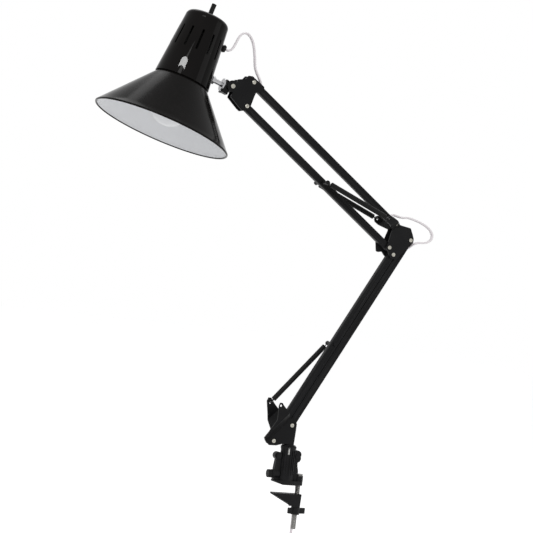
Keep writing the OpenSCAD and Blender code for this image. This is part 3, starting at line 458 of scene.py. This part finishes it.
def hankRoute(v):
    # the lead wound into a hank of two layers, crossing from one to the other half way
    outer = v["foldRadius"] + v["step"] * v["loops"] / 2
    middle = Vector(leadRoute[-1]) / mm - Vector((outer, 0, cordValues["width"] + v["runHalf"]))

    def at(u):
        r = v["foldRadius"] + v["step"] * abs(v["loops"] / 2 - u)
        w = min(max((u - v["loops"] / 2 + v["crossEarly"]) * v["crossRate"], 0), 1)
        y = (cordValues["width"] + v["layerGap"]) * (3 * w * w - 2 * w ** 3)
        q = (u - math.floor(u)) * 4
        half = v["runHalf"]
        pinch = lambda z: -v["waistIn"] * math.cos(math.pi * z / half / 2) ** 2
        if q < 1:
            z = half * (1 - 2 * q)
            x = r + pinch(z)
        elif q < 2:
            a = -math.pi * (q - 1)
            x, z = r * math.cos(a), -half + r * math.sin(a)
        elif q < 3:
            z = half * (2 * (q - 2) - 1)
            x = -r - pinch(z)
        else:
            a = math.pi * (1 - (q - 3))
            x, z = r * math.cos(a), half + r * math.sin(a)
        return middle + Vector((x, y, z))

    end = v["loops"] + 0.25
    points = [at(i / v["perLoop"]) for i in range(v["loops"] * v["perLoop"] + v["perLoop"] // 4)]
    last = at(end - 0.0001)
    points += [last, last - Vector((0, 0, cordValues["width"])), last - Vector((0, 0, v["tail"]))]
    return [p * mm for p in points]


def smoothRoute(points, between):
    # Catmull-Rom points through the given ones
    p = [Vector(q) for q in points]
    p = [p[0] * 2 - p[1]] + p + [p[-1] * 2 - p[-2]]
    made = []
    for before, here, after, beyond in zip(p, p[1:], p[2:], p[3:]):
        for k in range(between):
            t = k / between
            made.append(0.5 * (2 * here + (after - before) * t + (2 * before - 5 * here + 4 * after - beyond) * t * t
                               + (3 * here - before - 3 * after + beyond) * t ** 3))
    return made + [p[-2]]


def flatSection(v):
    # two round cores side by side with a shallow valley between them
    half, thick = v["width"] / 2, v["thickness"] / 2
    section = []
    for k in range(v["ringSides"]):
        a = 2 * math.pi * k / v["ringSides"]
        x = half * math.copysign(abs(math.cos(a)) ** v["sideRound"], math.cos(a))
        z = thick * math.copysign(abs(math.sin(a)) ** v["faceRound"], math.sin(a))
        valley = 1 - v["waist"] * math.exp(-(x / v["valley"]) ** 2)
        section.append((x * mm, z * valley * mm))
    return section


def routeLength(points):
    return sum((Vector(b) - Vector(a)).length for a, b in zip(points, points[1:]))


def aheadAt(points, i):
    # the way a route runs at one of its points
    return (points[min(i + 1, len(points) - 1)] - points[max(i - 1, 0)]).normalized()


def flatCord(name, points, sideStart, sideEnd, turnRows, v):
    # the flat side turns evenly from start to end over the first rows
    section, rings = flatSection(v), []
    for i, p in enumerate(points):
        ahead = aheadAt(points, i)
        side = Vector(sideStart).lerp(Vector(sideEnd), min(i / turnRows, 1))
        side = (side - side.dot(ahead) * ahead).normalized()
        across = ahead.cross(side)
        rings.append([p + side * a + across * b for a, b in section])
    return tubeMesh(name, rings, 1e-8)


headPath = smoothRoute(headRoute, cordValues["between"])
headCord = shaped(flatCord("cordLoopAtHead", headPath, (.13, 1, -.04), (0, 1, 0), len(headPath) - 1, cordValues),
                  finishes["greyCord"], None, ["cord_loop_head"])
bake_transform(headCord)

elbowPath = smoothRoute(elbowRoute, cordValues["between"])
elbowCord = shaped(flatCord("cordLoopAtElbow", elbowPath, (0, 1, 0), (0, 1, 0), len(elbowPath) - 1, cordValues),
                   finishes["greyCord"], None, ["cord_loop_elbow"])
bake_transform(elbowCord)

leadPath = smoothRoute(leadRoute, 2)[:-1] + [Vector(leadRoute[-1])] + hankRoute(hank)
leadTurnRows = len(leadRoute) * 2 - 4
lead = shaped(flatCord("mainsLead", leadPath, (0, 0, 1), (0, 1, 0), leadTurnRows, dict(cordValues, ringSides=14)),
              finishes["greyCord"], None, ["mains_lead", "lead_hank"])
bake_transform(lead)
print("cords made, the lead is %.2f m long" % routeLength(leadPath))

# world, lights and floor

lightValues = {"ambient": 0.5, "aim": (-0.05, 0, 0.27)}
softboxes = {
    "keySoftbox": {"place": (-1.7, -1.9, 1.5), "size": (1.0, 1.0), "power": 26.0},
    "fillSoftbox": {"place": (1.9, -1.6, 0.7), "size": (1.2, 1.6), "power": 9.0},
    "topSoftbox": {"place": (0.3, 0.9, 2.0), "size": (1.4, 1.0), "power": 10.0},
}
floorValues = {"drop": 0.001, "half": 6.0, "patch": 3.0, "dull": (0.86, 0.86, 0.86), "clean": (0.9, 0.9, 0.9),
               "rough": 0.9, "specular": 0.1, "glow": 0.54}


def makeWorld(v):
    # white where it is looked at or mirrored, weaker as a light
    world = bpy.data.worlds.new("studio")
    bpy.context.scene.world = world
    world.use_nodes = True
    tree = world.node_tree
    path = tree.nodes.new("ShaderNodeLightPath").outputs
    seen = mathNode(tree, "MAXIMUM", path["Is Camera Ray"],
                    mathNode(tree, "MAXIMUM", path["Is Glossy Ray"], path["Is Transmission Ray"]))
    plain = tree.nodes["Background"]
    plain.inputs[0].default_value = (1, 1, 1, 1)
    tree.links.new(remap(tree, seen, 0.0, 1.0, v["ambient"], 1.0), plain.inputs[1])


def addSoftbox(name, place, aim, size, power):
    data = bpy.data.lights.new(name, "AREA")
    data.shape = "RECTANGLE"
    data.size, data.size_y = size
    data.energy = power
    lightObject = bpy.data.objects.new(name, data)
    bpy.context.scene.collection.objects.link(lightObject)
    way = Vector(aim) - Vector(place)
    lightObject.matrix_world = Matrix.Translation(place) @ way.to_track_quat("-Z", "Y").to_matrix().to_4x4()
    return lightObject


makeWorld(lightValues)
for name, v in softboxes.items():
    addSoftbox(name, v["place"], lightValues["aim"], v["size"], v["power"])


def makeFloor(v):
    low = cadBox[0][2] - v["drop"]
    size = v["half"]
    corners = [(-size, -size, low), (size, -size, low), (size, size * 2, low), (-size, size * 2, low)]
    mesh = meshFrom("paleFloor", corners, [(0, 1, 2, 3)], smooth=False)
    mat = bpy.data.materials.new("paleFloor")
    mat.use_nodes = True
    tree = mat.node_tree
    shader = tree.nodes["Principled BSDF"]
    tone = noiseNode(tree, tree.nodes.new("ShaderNodeTexCoord").outputs["Object"], v["patch"])
    tree.links.new(mixColour(tree, tone, v["dull"], v["clean"]), shader.inputs["Base Color"])
    shader.inputs["Roughness"].default_value = v["rough"]
    shader.inputs["Specular IOR Level"].default_value = v["specular"]
    path = tree.nodes.new("ShaderNodeLightPath").outputs
    seen = mathNode(tree, "MAXIMUM", path["Is Camera Ray"], path["Is Glossy Ray"])
    tree.links.new(mathNode(tree, "MULTIPLY", seen, v["glow"]), shader.inputs["Emission Strength"])
    shader.inputs["Emission Color"].default_value = (1, 1, 1, 1)
    floor = addObject("paleFloor", mesh)
    floor.data.materials.append(mat)


makeFloor(floorValues)
bpy.context.scene.view_settings.view_transform = "Standard"
print("studio made")

# bars: a drawn tube with a groove down each face and round ends

barValues = {"corner": 0.9, "cornerSteps": 3, "endSteps": 9, "endFrom": 8, "grooveWidth": 3.0, "grooveDepth": 0.5,
             "grooveSlope": 0.35, "grooveStart": 13.0, "grooveRamp": 1.0, "sharp": 40}


def mirrored(section):
    return [(-y, z) for y, z in reversed(section)]


def barSection(h, g, v):
    # the outline at a place where the bar is h high each way and its groove g deep, in four quarters
    half, deep, corner = lamp["barHeight"] / 2, lamp["barDepth"] / 2, v["corner"]
    k, edge = h / half, v["grooveWidth"] / 2
    floor = edge - v["grooveSlope"]
    face = [(deep, -(half - corner) * k), (deep, -edge * k), (deep - g, -floor * k), (deep - g, floor * k),
            (deep, edge * k), (deep, (half - corner) * k)]
    turned = [(deep - corner + corner * math.cos(a), (half - corner + corner * math.sin(a)) * k)
              for a in (math.pi / 2 * s / v["cornerSteps"] for s in range(1, v["cornerSteps"] + 1))]
    lower = [(-y, -z) for y, z in turned]
    return face + turned + mirrored(face + turned) + lower + mirrored(lower)


def barMesh(name, length, v):
    # stations along the bar: round ends, then the groove's run-out, then the groove
    half = lamp["barHeight"] / 2
    stations = []
    for k in range(v["endSteps"]):
        a = math.radians(v["endFrom"] + (90 - v["endFrom"]) * k / (v["endSteps"] - 1))
        stations.append((-half * math.cos(a), half * math.sin(a), 0.0))
    stations += [(v["grooveStart"] - v["grooveRamp"], half, 0.0), (v["grooveStart"], half, v["grooveDepth"]),
                 (length / 2, half, v["grooveDepth"])]
    stations += [(length - x, h, g) for x, h, g in reversed(stations[:-1])]
    rings = [[Vector((x * mm, y * mm, z * mm)) for y, z in barSection(h, g, v)] for x, h, g in stations]
    mesh = tubeMesh(name, rings, 1e-7)
    sharpFrom(mesh, v["sharp"])
    return mesh


for name, foot, length, angle, body, node in (
        ("lowerBar", lowerFoot, lamp["lowerLength"], lamp["lowerAngle"], "lower_arm", "lower_bar"),
        ("lowerLinkBar", lowerLinkFoot, lamp["lowerLength"], lamp["lowerAngle"], "lower_link", "lower_link_bar"),
        ("upperBar", upperFoot, lamp["upperLength"], lamp["upperAngle"], "upper_arm", "upper_bar"),
        ("upperLinkBar", upperLinkFoot, lamp["upperLength"], lamp["upperAngle"], "upper_link", "upper_link_bar")):
    mesh = barMesh(name, length, barValues)
    mesh.transform(inPlane(foot, angle))
    shaped(mesh, finishes["blackPaint"], body, [node])
print("bars made")

# plates, clips and cast pieces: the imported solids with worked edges

edgeWork = {
    "base_plate_front": (0.45, "blackPaint", "base"), "base_plate_back": (0.45, "blackPaint", "base"),
    "elbow_plate_front": (0.45, "blackPaint", "elbow"), "elbow_plate_back": (0.45, "blackPaint", "elbow"),
    "head_plate_front": (0.45, "blackPaint", "head"), "head_plate_back": (0.45, "blackPaint", "head"),
    "lower_spring_pin": (0.3, "blackPaint", "lower_arm"), "upper_spring_pin": (0.3, "blackPaint", "upper_arm"),
    "base_block": (0.5, "blackPaint", "base"), "tilt_knuckle": (0.6, "blackPaint", "shade"),
    "clamp_body": (0.4, "blackCast", "clamp"), "lower_jaw": (0.5, "blackCast", "jaw"),
    "lever_nut": (0.8, "blackCast", "nut"), "lock_knob": (0.3, "blackPlastic", "knob"),
    "plug_body": (0.8, "greyCord", "clamp"), "plug_blades": (0.25, "brass", "clamp"),
    "hank_tie": (0.4, "blackPlastic", "clamp"), "cord_grommet": (0.3, "blackPlastic", "shade"),
    "lead_relief": (0.4, "blackPlastic", "base"), "stem_nut": (0.35, "brightSteel", "shade"),
    "switch_nut": (0.3, "brightSteel", "shade"), "tilt_nut": (0.3, "platedSteel", "head"),
    "swivel_post": (0.3, "blackPaint", "base"), "shade_stem": (0.4, "brightSteel", "shade"),
    "elbow_spacer": (0.2, "blackPaint", "elbow"),
}
edgeValues = {"weld": 2e-6, "flat": 1.0, "sharp": 42}


def pieceName(nodeName):
    first, *others = nodeName.split("_")
    return first + "".join(word.title() for word in others)


def workedEdges(nodeName, width, materialName, body):
    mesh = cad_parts[nodeName].data.copy()
    mesh.materials.clear()
    bm = bmesh.new()
    bm.from_mesh(mesh)
    bmesh.ops.remove_doubles(bm, verts=bm.verts, dist=edgeValues["weld"])
    bmesh.ops.dissolve_limit(bm, angle_limit=math.radians(edgeValues["flat"]), verts=bm.verts, edges=bm.edges)
    bm.to_mesh(mesh)
    bm.free()
    mesh.polygons.foreach_set("use_smooth", [True] * len(mesh.polygons))
    if "custom_normal" in mesh.attributes:
        mesh.attributes.remove(mesh.attributes["custom_normal"])
    obj = addObject(pieceName(nodeName), mesh)
    edgeRound(obj, width)
    bakeModifiers(obj)
    sharpFrom(obj.data, edgeValues["sharp"])
    return shaped(obj, finishes[materialName], body, [nodeName])


worked = {nodeName: workedEdges(nodeName, *values) for nodeName, values in edgeWork.items()}
print("plates and cast pieces made")

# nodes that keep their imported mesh
keepNodes = {
    "socket_bush": "whitePlastic", "clamp_bolt": "threadedSteel", "lobe_screws": "blackCast",
    "tilt_bolt": "platedSteel", "flex_in_lower_bar": "greyCord", "flex_in_upper_bar": "greyCord",
    "holder_bracket": "brightSteel", "lampholder": "blackPlastic", "holder_shell": "brass",
    "holder_contact": "brass", "bulb_cap": "aluminium", "switch_knob": "blackPlastic",
    "elbow_rivets": "platedSteel", "base_rivets": "platedSteel", "head_rivets": "platedSteel",
}
for nodeName, materialName in keepNodes.items():
    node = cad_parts[nodeName]
    node.data.materials.clear()
    node.data.materials.append(finishes[materialName])

# shade: spun cap with vents, spun cone with a rolled rim, frosted bulb

shadeValues = {
    "rim": 85.0, "cone": 67.0, "neck": 32.4, "wall": 0.9, "bead": 1.25, "steps": 144,
    "skirt": ((0, 1.5), (0, -3.9), (0.25, -4.7), (1.0, -5.7)), "innerFoot": (0.3, -5.8), "innerSkirt": -4.6,
    "coneSteps": 12, "coneFoot": 60, "beadArc": (40, -180, 11), "whiteIn": 0.3, "whiteUp": 0.4,
    "cap": 79.5, "shoulder": 27.2, "corner": 7.0, "cornerFrom": -4, "cornerSteps": 12, "hole": 5.2, "holeFlat": 6,
    "lipEnd": -4.3, "lipGap": 0.05, "lipRound": 0.25, "lipInside": 2.2,
    "wallShares": (0.012, 0.1, 0.3, 0.5, 0.7, 0.9, 0.988),
    "vents": 13, "ventLength": 26.0, "ventWidth": 2.6, "ventAt": 44.0, "ventTurn": 5.0,
    "cutterRing": 30.0, "cutterDepth": 16.0, "cutterRound": 0.49,
    "bulb": 26.0, "bulbTip": -62, "bulbCap": 13.0, "bulbTop": 9.0, "bulbSteps": 24, "bulbSides": 96, "bulbNeckOut": 2,
    "bulbNeck": ((1.3, 2.4), (0.8, 5)), "bulbSeat": ((0.2, -6), (-0.2, -4), (-0.4, 0)),
}


def arcAngles(start, end, steps):
    return [math.radians(start + (end - start) * k / steps) for k in range(steps + 1)]


def arcPoints(centre, radius, start, end, steps):
    x, z = centre
    return [(x + radius * math.cos(a), z + radius * math.sin(a)) for a in arcAngles(start, end, steps)]


def straightPoints(start, end, steps):
    return [(start[0] + (end[0] - start[0]) * k / steps, start[1] + (end[1] - start[1]) * k / steps)
            for k in range(1, steps + 1)]


def capMesh(v):
    lip = v["neck"] + v["wall"] + v["lipGap"]
    corner = (v["shoulder"] - v["corner"], v["cap"] - v["corner"])
    foot = [(lip + v["wall"] - v["lipRound"], v["lipEnd"]), (lip + v["wall"], v["lipEnd"] + v["lipRound"])]
    arc = arcPoints(corner, v["corner"], v["cornerFrom"], 90, v["cornerSteps"])
    wallRun = [tuple(Vector(foot[-1]).lerp(Vector(arc[0]), share)) for share in v["wallShares"]]
    top = [(v["holeFlat"], v["cap"]), (v["hole"], v["cap"]), (v["hole"], v["cap"] - v["wall"]),
           (v["holeFlat"], v["cap"] - v["wall"])]
    innerArc = arcPoints(corner, v["corner"] - v["wall"], 90, v["cornerFrom"], v["cornerSteps"])
    profile = foot + wallRun + arc + top + innerArc + [(lip, v["lipInside"]), (lip, v["lipEnd"])]
    return spin("shadeCap", profile, v["steps"], closed=True)


def ventTree(v):
    # a ring of round-ended cutters that stand across the cap's wall
    tree, given, out = meshTree("ventCutters", [
        ("Count", "Int", 12), ("Length", "Float", 0.027), ("Width", "Float", 0.0026), ("Middle", "Float", 0.0515),
        ("Turn", "Float", 0.0)])
    size = given.outputs
    slot = addNode(tree, "GeometryNodeCurvePrimitiveQuadrilateral",
                   {"Width": size["Length"], "Height": size["Width"]})
    radius = mathNode(tree, "MULTIPLY", size["Width"], v["cutterRound"])
    soft = addNode(tree, "GeometryNodeFilletCurve",
                   {"Curve": slot.outputs[0], "Count": 6, "Limit Radius": True, "Radius": radius}, mode="POLY")
    fill = addNode(tree, "GeometryNodeFillCurve", {"Curve": soft.outputs[0]}, mode="NGONS").outputs[0]
    depth = v["cutterDepth"] * mm
    thick = addNode(tree, "GeometryNodeExtrudeMesh", {"Mesh": fill, "Offset Scale": depth}, mode="FACES")
    flip = addNode(tree, "GeometryNodeFlipFaces", {0: fill})
    both = addNode(tree, "GeometryNodeJoinGeometry", {0: thick.outputs["Mesh"]})
    tree.links.new(flip.outputs[0], both.inputs[0])
    weld = addNode(tree, "GeometryNodeMergeByDistance", {"Geometry": both.outputs[0], "Distance": 1e-6})
    stand = addNode(tree, "GeometryNodeTransform", {"Geometry": weld.outputs[0], "Translation": (-depth / 2, 0, 0),
                                                    "Rotation": (0, math.pi / 2, 0)})
    ring = addNode(tree, "GeometryNodeMeshCircle", {"Vertices": size["Count"], "Radius": v["cutterRing"] * mm})
    index = tree.nodes.new("GeometryNodeInputIndex").outputs[0]
    angle = mathNode(tree, "MULTIPLY", index, mathNode(tree, "DIVIDE", 2 * math.pi, size["Count"]))
    turn, lift, twist = (addNode(tree, "ShaderNodeCombineXYZ", {"Z": z}).outputs[0]
                         for z in (angle, size["Middle"], size["Turn"]))
    onRing = addNode(tree, "GeometryNodeInstanceOnPoints",
                     {"Points": ring.outputs[0], "Instance": stand.outputs[0], "Rotation": turn})
    place = addNode(tree, "GeometryNodeTransform",
                    {"Geometry": onRing.outputs[0], "Translation": lift, "Rotation": twist})
    finishTree(tree, place.outputs[0], given, out)
    return tree


def makeCap(v):
    cap = addObject("shadeCap", capMesh(v))
    cutters = runTree("ventCutters", ventTree(v), {
        "Count": v["vents"], "Length": v["ventLength"] * mm, "Width": v["ventWidth"] * mm, "Middle": v["ventAt"] * mm,
        "Turn": math.radians(v["ventTurn"]), "Material": finishes["capGloss"]})
    tidyNormals(cutters.data)
    cut = cap.modifiers.new("vents", "BOOLEAN")
    cut.operation = "DIFFERENCE"
    cut.solver = "EXACT"
    cut.object = cutters
    bakeModifiers(cap)
    bpy.data.objects.remove(cutters)
    cap.data.materials.clear()
    cap.data.polygons.foreach_set("use_smooth", [True] * len(cap.data.polygons))
    sharpFrom(cap.data, 40)
    cap.data.transform(shadePlace)
    return shaped(cap, finishes["capGloss"], "shade", ["shade_cap"])


def makeCone(v):
    coneR = v["rim"] - v["bead"]
    outer = [(v["neck"] + r, z) for r, z in v["skirt"]]
    coneFoot = math.radians(v["coneFoot"])
    end = (coneR + v["bead"] * math.cos(coneFoot), -v["cone"] + v["bead"] * math.sin(coneFoot))
    outer += straightPoints(outer[-1], end, v["coneSteps"])
    bead = arcPoints((coneR, -v["cone"]), v["bead"], *v["beadArc"])
    innerNeck = v["neck"] - v["wall"]
    footOut, footAt = v["innerFoot"]
    inner = straightPoints(bead[-1], (v["neck"] + footOut - v["wall"], footAt), v["coneSteps"])
    inner += [(innerNeck, v["innerSkirt"]), (innerNeck, v["skirt"][0][1])]
    cone = addObject("shadeCone", spin("shadeCone", outer + bead + inner, v["steps"], closed=True))
    cone.data.materials.append(finishes["blackGloss"])
    cone.data.materials.append(finishes["shadeInside"])
    insideFrom, insideR = -(v["cone"] - v["whiteUp"]) * mm, (coneR - v["whiteIn"]) * mm
    for face in cone.data.polygons:
        r = math.hypot(face.center.x, face.center.y)
        towardAxis = face.normal.x * face.center.x + face.normal.y * face.center.y < 0
        if towardAxis and face.center.z > insideFrom and r < insideR:
            face.material_index = 1
    sharpFrom(cone.data, 50)
    cone.data.transform(shadePlace)
    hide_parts("shade_cone")
    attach(cone, "shade")


def makeBulb(v):
    centre = v["bulbTip"] + v["bulb"]
    neckArc = math.degrees(math.asin((v["bulbCap"] + v["bulbNeckOut"]) / v["bulb"]))
    profile = [(0, centre - v["bulb"])]
    for k in range(1, v["bulbSteps"] + 1):
        a = math.radians(k * (180 - neckArc) / v["bulbSteps"])
        profile.append((v["bulb"] * math.sin(a), centre - v["bulb"] * math.cos(a)))
    base = centre + v["bulb"] * math.cos(math.radians(neckArc))
    profile += [(v["bulbCap"] + r, base + z) for r, z in v["bulbNeck"]]
    profile += [(v["bulbCap"] + r, v["bulbTop"] + z) for r, z in v["bulbSeat"]] + [(0, v["bulbTop"])]
    mesh = spin("frostedBulb", profile, v["bulbSides"])
    sharpFrom(mesh, 60)
    mesh.transform(shadePlace)
    shaped(mesh, finishes["frostedGlass"], "shade", ["bulb_glass"])


cap = makeCap(shadeValues)
makeCone(shadeValues)
makeBulb(shadeValues)
print("shade made")

# the small window that the photograph shows reflected low on the cap, lighting nothing else

glintValues = {"place": (-0.3834, -0.2973, 0.7041), "aim": (-0.2041, -0.0298, 0.4872),
               "across": (0.732, -0.648, -0.213), "size": (0.189, 0.0133), "power": 0.88}


def addGlint(v, receiver):
    glint = addSoftbox("capWindow", v["place"], v["aim"], v["size"], v["power"])
    z = (Vector(v["place"]) - Vector(v["aim"])).normalized()
    across = Vector(v["across"])
    x = (across - across.dot(z) * z).normalized()
    turn = Matrix((x, z.cross(x), z)).transposed().to_4x4()
    glint.matrix_world = Matrix.Translation(v["place"]) @ turn
    group = bpy.data.collections.new("capWindowReceiver")
    group.objects.link(receiver)
    glint.light_linking.receiver_collection = group
    glint.visible_camera = False


addGlint(glintValues, cap)

# springs in a black sleeve, in millimetres: a hook and a closed coil at each end, a plain core in the middle

springValues = {
    "sleeve": 3.2, "sleeveWall": 0.6, "sleeveRound": 0.12, "sleeveLip": 0.15, "sleeveRows": 10, "sides": 20,
    "bare": 1.0, "wire": 0.6, "wireSides": 10, "earHook": 2.6, "earRing": (-165, 180, 28), "earShank": 1.2,
    "pinHook": 2.3, "pinRing": (0, 330, 24), "pinShank": 1.1, "pinShankFrom": 4.4, "pinClear": 2.2,
    "coilTurns": 12, "coilRadius": 1.95, "coilLength": 8.0, "coilWire": 0.45, "coilIn": 0.2, "core": 2.3,
    "coreSides": 12, "sharp": 45,
}


def wireTube(name, points, v):
    rings, side = [], Vector((0, 1, 0.01))
    for i, p in enumerate(points):
        ahead = aheadAt(points, i)
        side = (side - side.dot(ahead) * ahead).normalized()
        across = ahead.cross(side)
        turns = [2 * math.pi * k / v["wireSides"] for k in range(v["wireSides"])]
        rings.append([p + v["wire"] * mm * (side * math.cos(a) + across * math.sin(a)) for a in turns])
    return tubeMesh(name, rings, 1e-8)


def coilTree():
    # a closed coil of round wire, wound up the Z axis
    tree, given, out = meshTree("closedCoil", [("Turns", "Float", 10.0), ("Radius", "Float", 0.0015),
                                               ("Length", "Float", 0.01), ("Wire", "Float", 0.0004)])
    size = given.outputs
    helix = addNode(tree, "GeometryNodeCurveSpiral", {
        "Resolution": 16, "Rotations": size["Turns"], "Start Radius": size["Radius"], "End Radius": size["Radius"],
        "Height": size["Length"]})
    section = addNode(tree, "GeometryNodeCurvePrimitiveCircle", {"Resolution": 6, "Radius": size["Wire"]})
    tube = addNode(tree, "GeometryNodeCurveToMesh",
                   {"Curve": helix.outputs[0], "Profile Curve": section.outputs[0], "Fill Caps": True})
    smooth = addNode(tree, "GeometryNodeSetShadeSmooth", {0: tube.outputs[0]})
    finishTree(tree, smooth.outputs[0], given, out)
    return tree


closedCoil = coilTree()


def coilMesh(name, start, v):
    made = runTree(name, closedCoil, {
        "Turns": float(v["coilTurns"]), "Radius": v["coilRadius"] * mm, "Length": v["coilLength"] * mm,
        "Wire": v["coilWire"] * mm, "Material": finishes["springSteel"]})
    mesh = made.data
    bpy.data.objects.remove(made)
    tidyNormals(mesh, 1e-8)
    mesh.transform(Matrix.Translation((0, 0, start * mm)))
    return mesh


def sleeveTube(start, end, v):
    full, bore, rows = v["sleeve"], v["sleeve"] - v["sleeveWall"], v["sleeveRows"]
    profile = [(bore, start), (full - v["sleeveRound"], start), (full, start + v["sleeveLip"])]
    profile += [(full, start + (end - start) * k / rows) for k in range(1, rows)]
    profile += [(full, end - v["sleeveLip"]), (full - v["sleeveRound"], end), (bore, end)]
    return spin("sleeve", profile, v["sides"], closed=True)


def earHookMesh(v):
    r, wire = v["earHook"], []
    for a in arcAngles(*v["earRing"]):
        wire.append(Vector((0, r * math.sin(a), r - r * math.cos(a))) * mm)
    wire += [Vector((0, 0, (2 * r + k * v["earShank"]) * mm)) for k in range(1, 4)]
    return wireTube("earHook", wire, v)


def pinHookMesh(length, v):
    r = v["pinHook"]
    wire = [Vector((0, 0, (length - r - v["pinShankFrom"] + k * v["pinShank"]) * mm)) for k in range(4)]
    for a in arcAngles(*v["pinRing"]):
        wire.append(Vector((r * math.sin(a), 0, length - r * math.cos(a))) * mm)
    return wireTube("pinHook", wire, v)


def springStretches(length, v):
    # the spring in three stretches, each as where it starts and ends, its sleeve and what lies in the sleeve
    start = 2 * v["earHook"] + v["bare"]
    end = length - v["pinHook"] - v["bare"] - v["pinClear"]
    low, high = start + (end - start) / 3, start + 2 * (end - start) / 3
    core = spin("core", [(0, low), (v["core"], low), (v["core"], high), (0, high)], v["coreSides"])
    lastCoil = end - (v["coilIn"] + v["coilLength"])
    return [(0.0, low, sleeveTube(start, low, v), [earHookMesh(v), coilMesh("coil", start + v["coilIn"], v)]),
            (low, high, sleeveTube(low, high, v), [core]),
            (high, length, sleeveTube(high, end, v), [pinHookMesh(length, v), coilMesh("coil", lastCoil, v)])]


def springPieces(label, ear, pin, side, nodes, v):
    # the spring's three stretches, each placed along the line from its ear to its pin
    way = pin - ear
    length = way.length
    angle = math.degrees(math.atan2(way.y, way.x))
    place = inPlane(ear, angle, side * lamp["earOut"]) @ Matrix.Rotation(math.pi / 2, 4, "Y")
    for number, (low, high, sleeve, steel) in enumerate(springStretches(length, v), 1):
        for mesh in [sleeve] + steel:
            mesh.materials.clear()
            mesh.materials.append(finishes["blackPlastic"])
            mesh.materials.append(finishes["springSteel"])
            mesh.polygons.foreach_set("material_index", [int(mesh in steel)] * len(mesh.polygons))
        joined = joinMeshes(label + str(number), [sleeve] + steel)
        joined.polygons.foreach_set("use_smooth", [True] * len(joined.polygons))
        sharpFrom(joined, v["sharp"])
        joined.transform(place)
        obj = addObject(joined.name, joined)
        obj.data.materials.append(finishes["blackPlastic"])
        obj.data.materials.append(finishes["springSteel"])
        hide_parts(*nodes)
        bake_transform(obj)


for side, word in ((-1, "front"), (1, "back")):
    if side > 0:
        springPieces("lowerSpring" + word.title(), lowerEar, lowerPin, side,
                     ["lower_spring_" + word, "lower_sleeve_" + word], springValues)
    springPieces("upperSpring" + word.title(), upperEar, upperPin, side,
                 ["upper_spring_" + word, "upper_sleeve_" + word], springValues)
print("springs made")
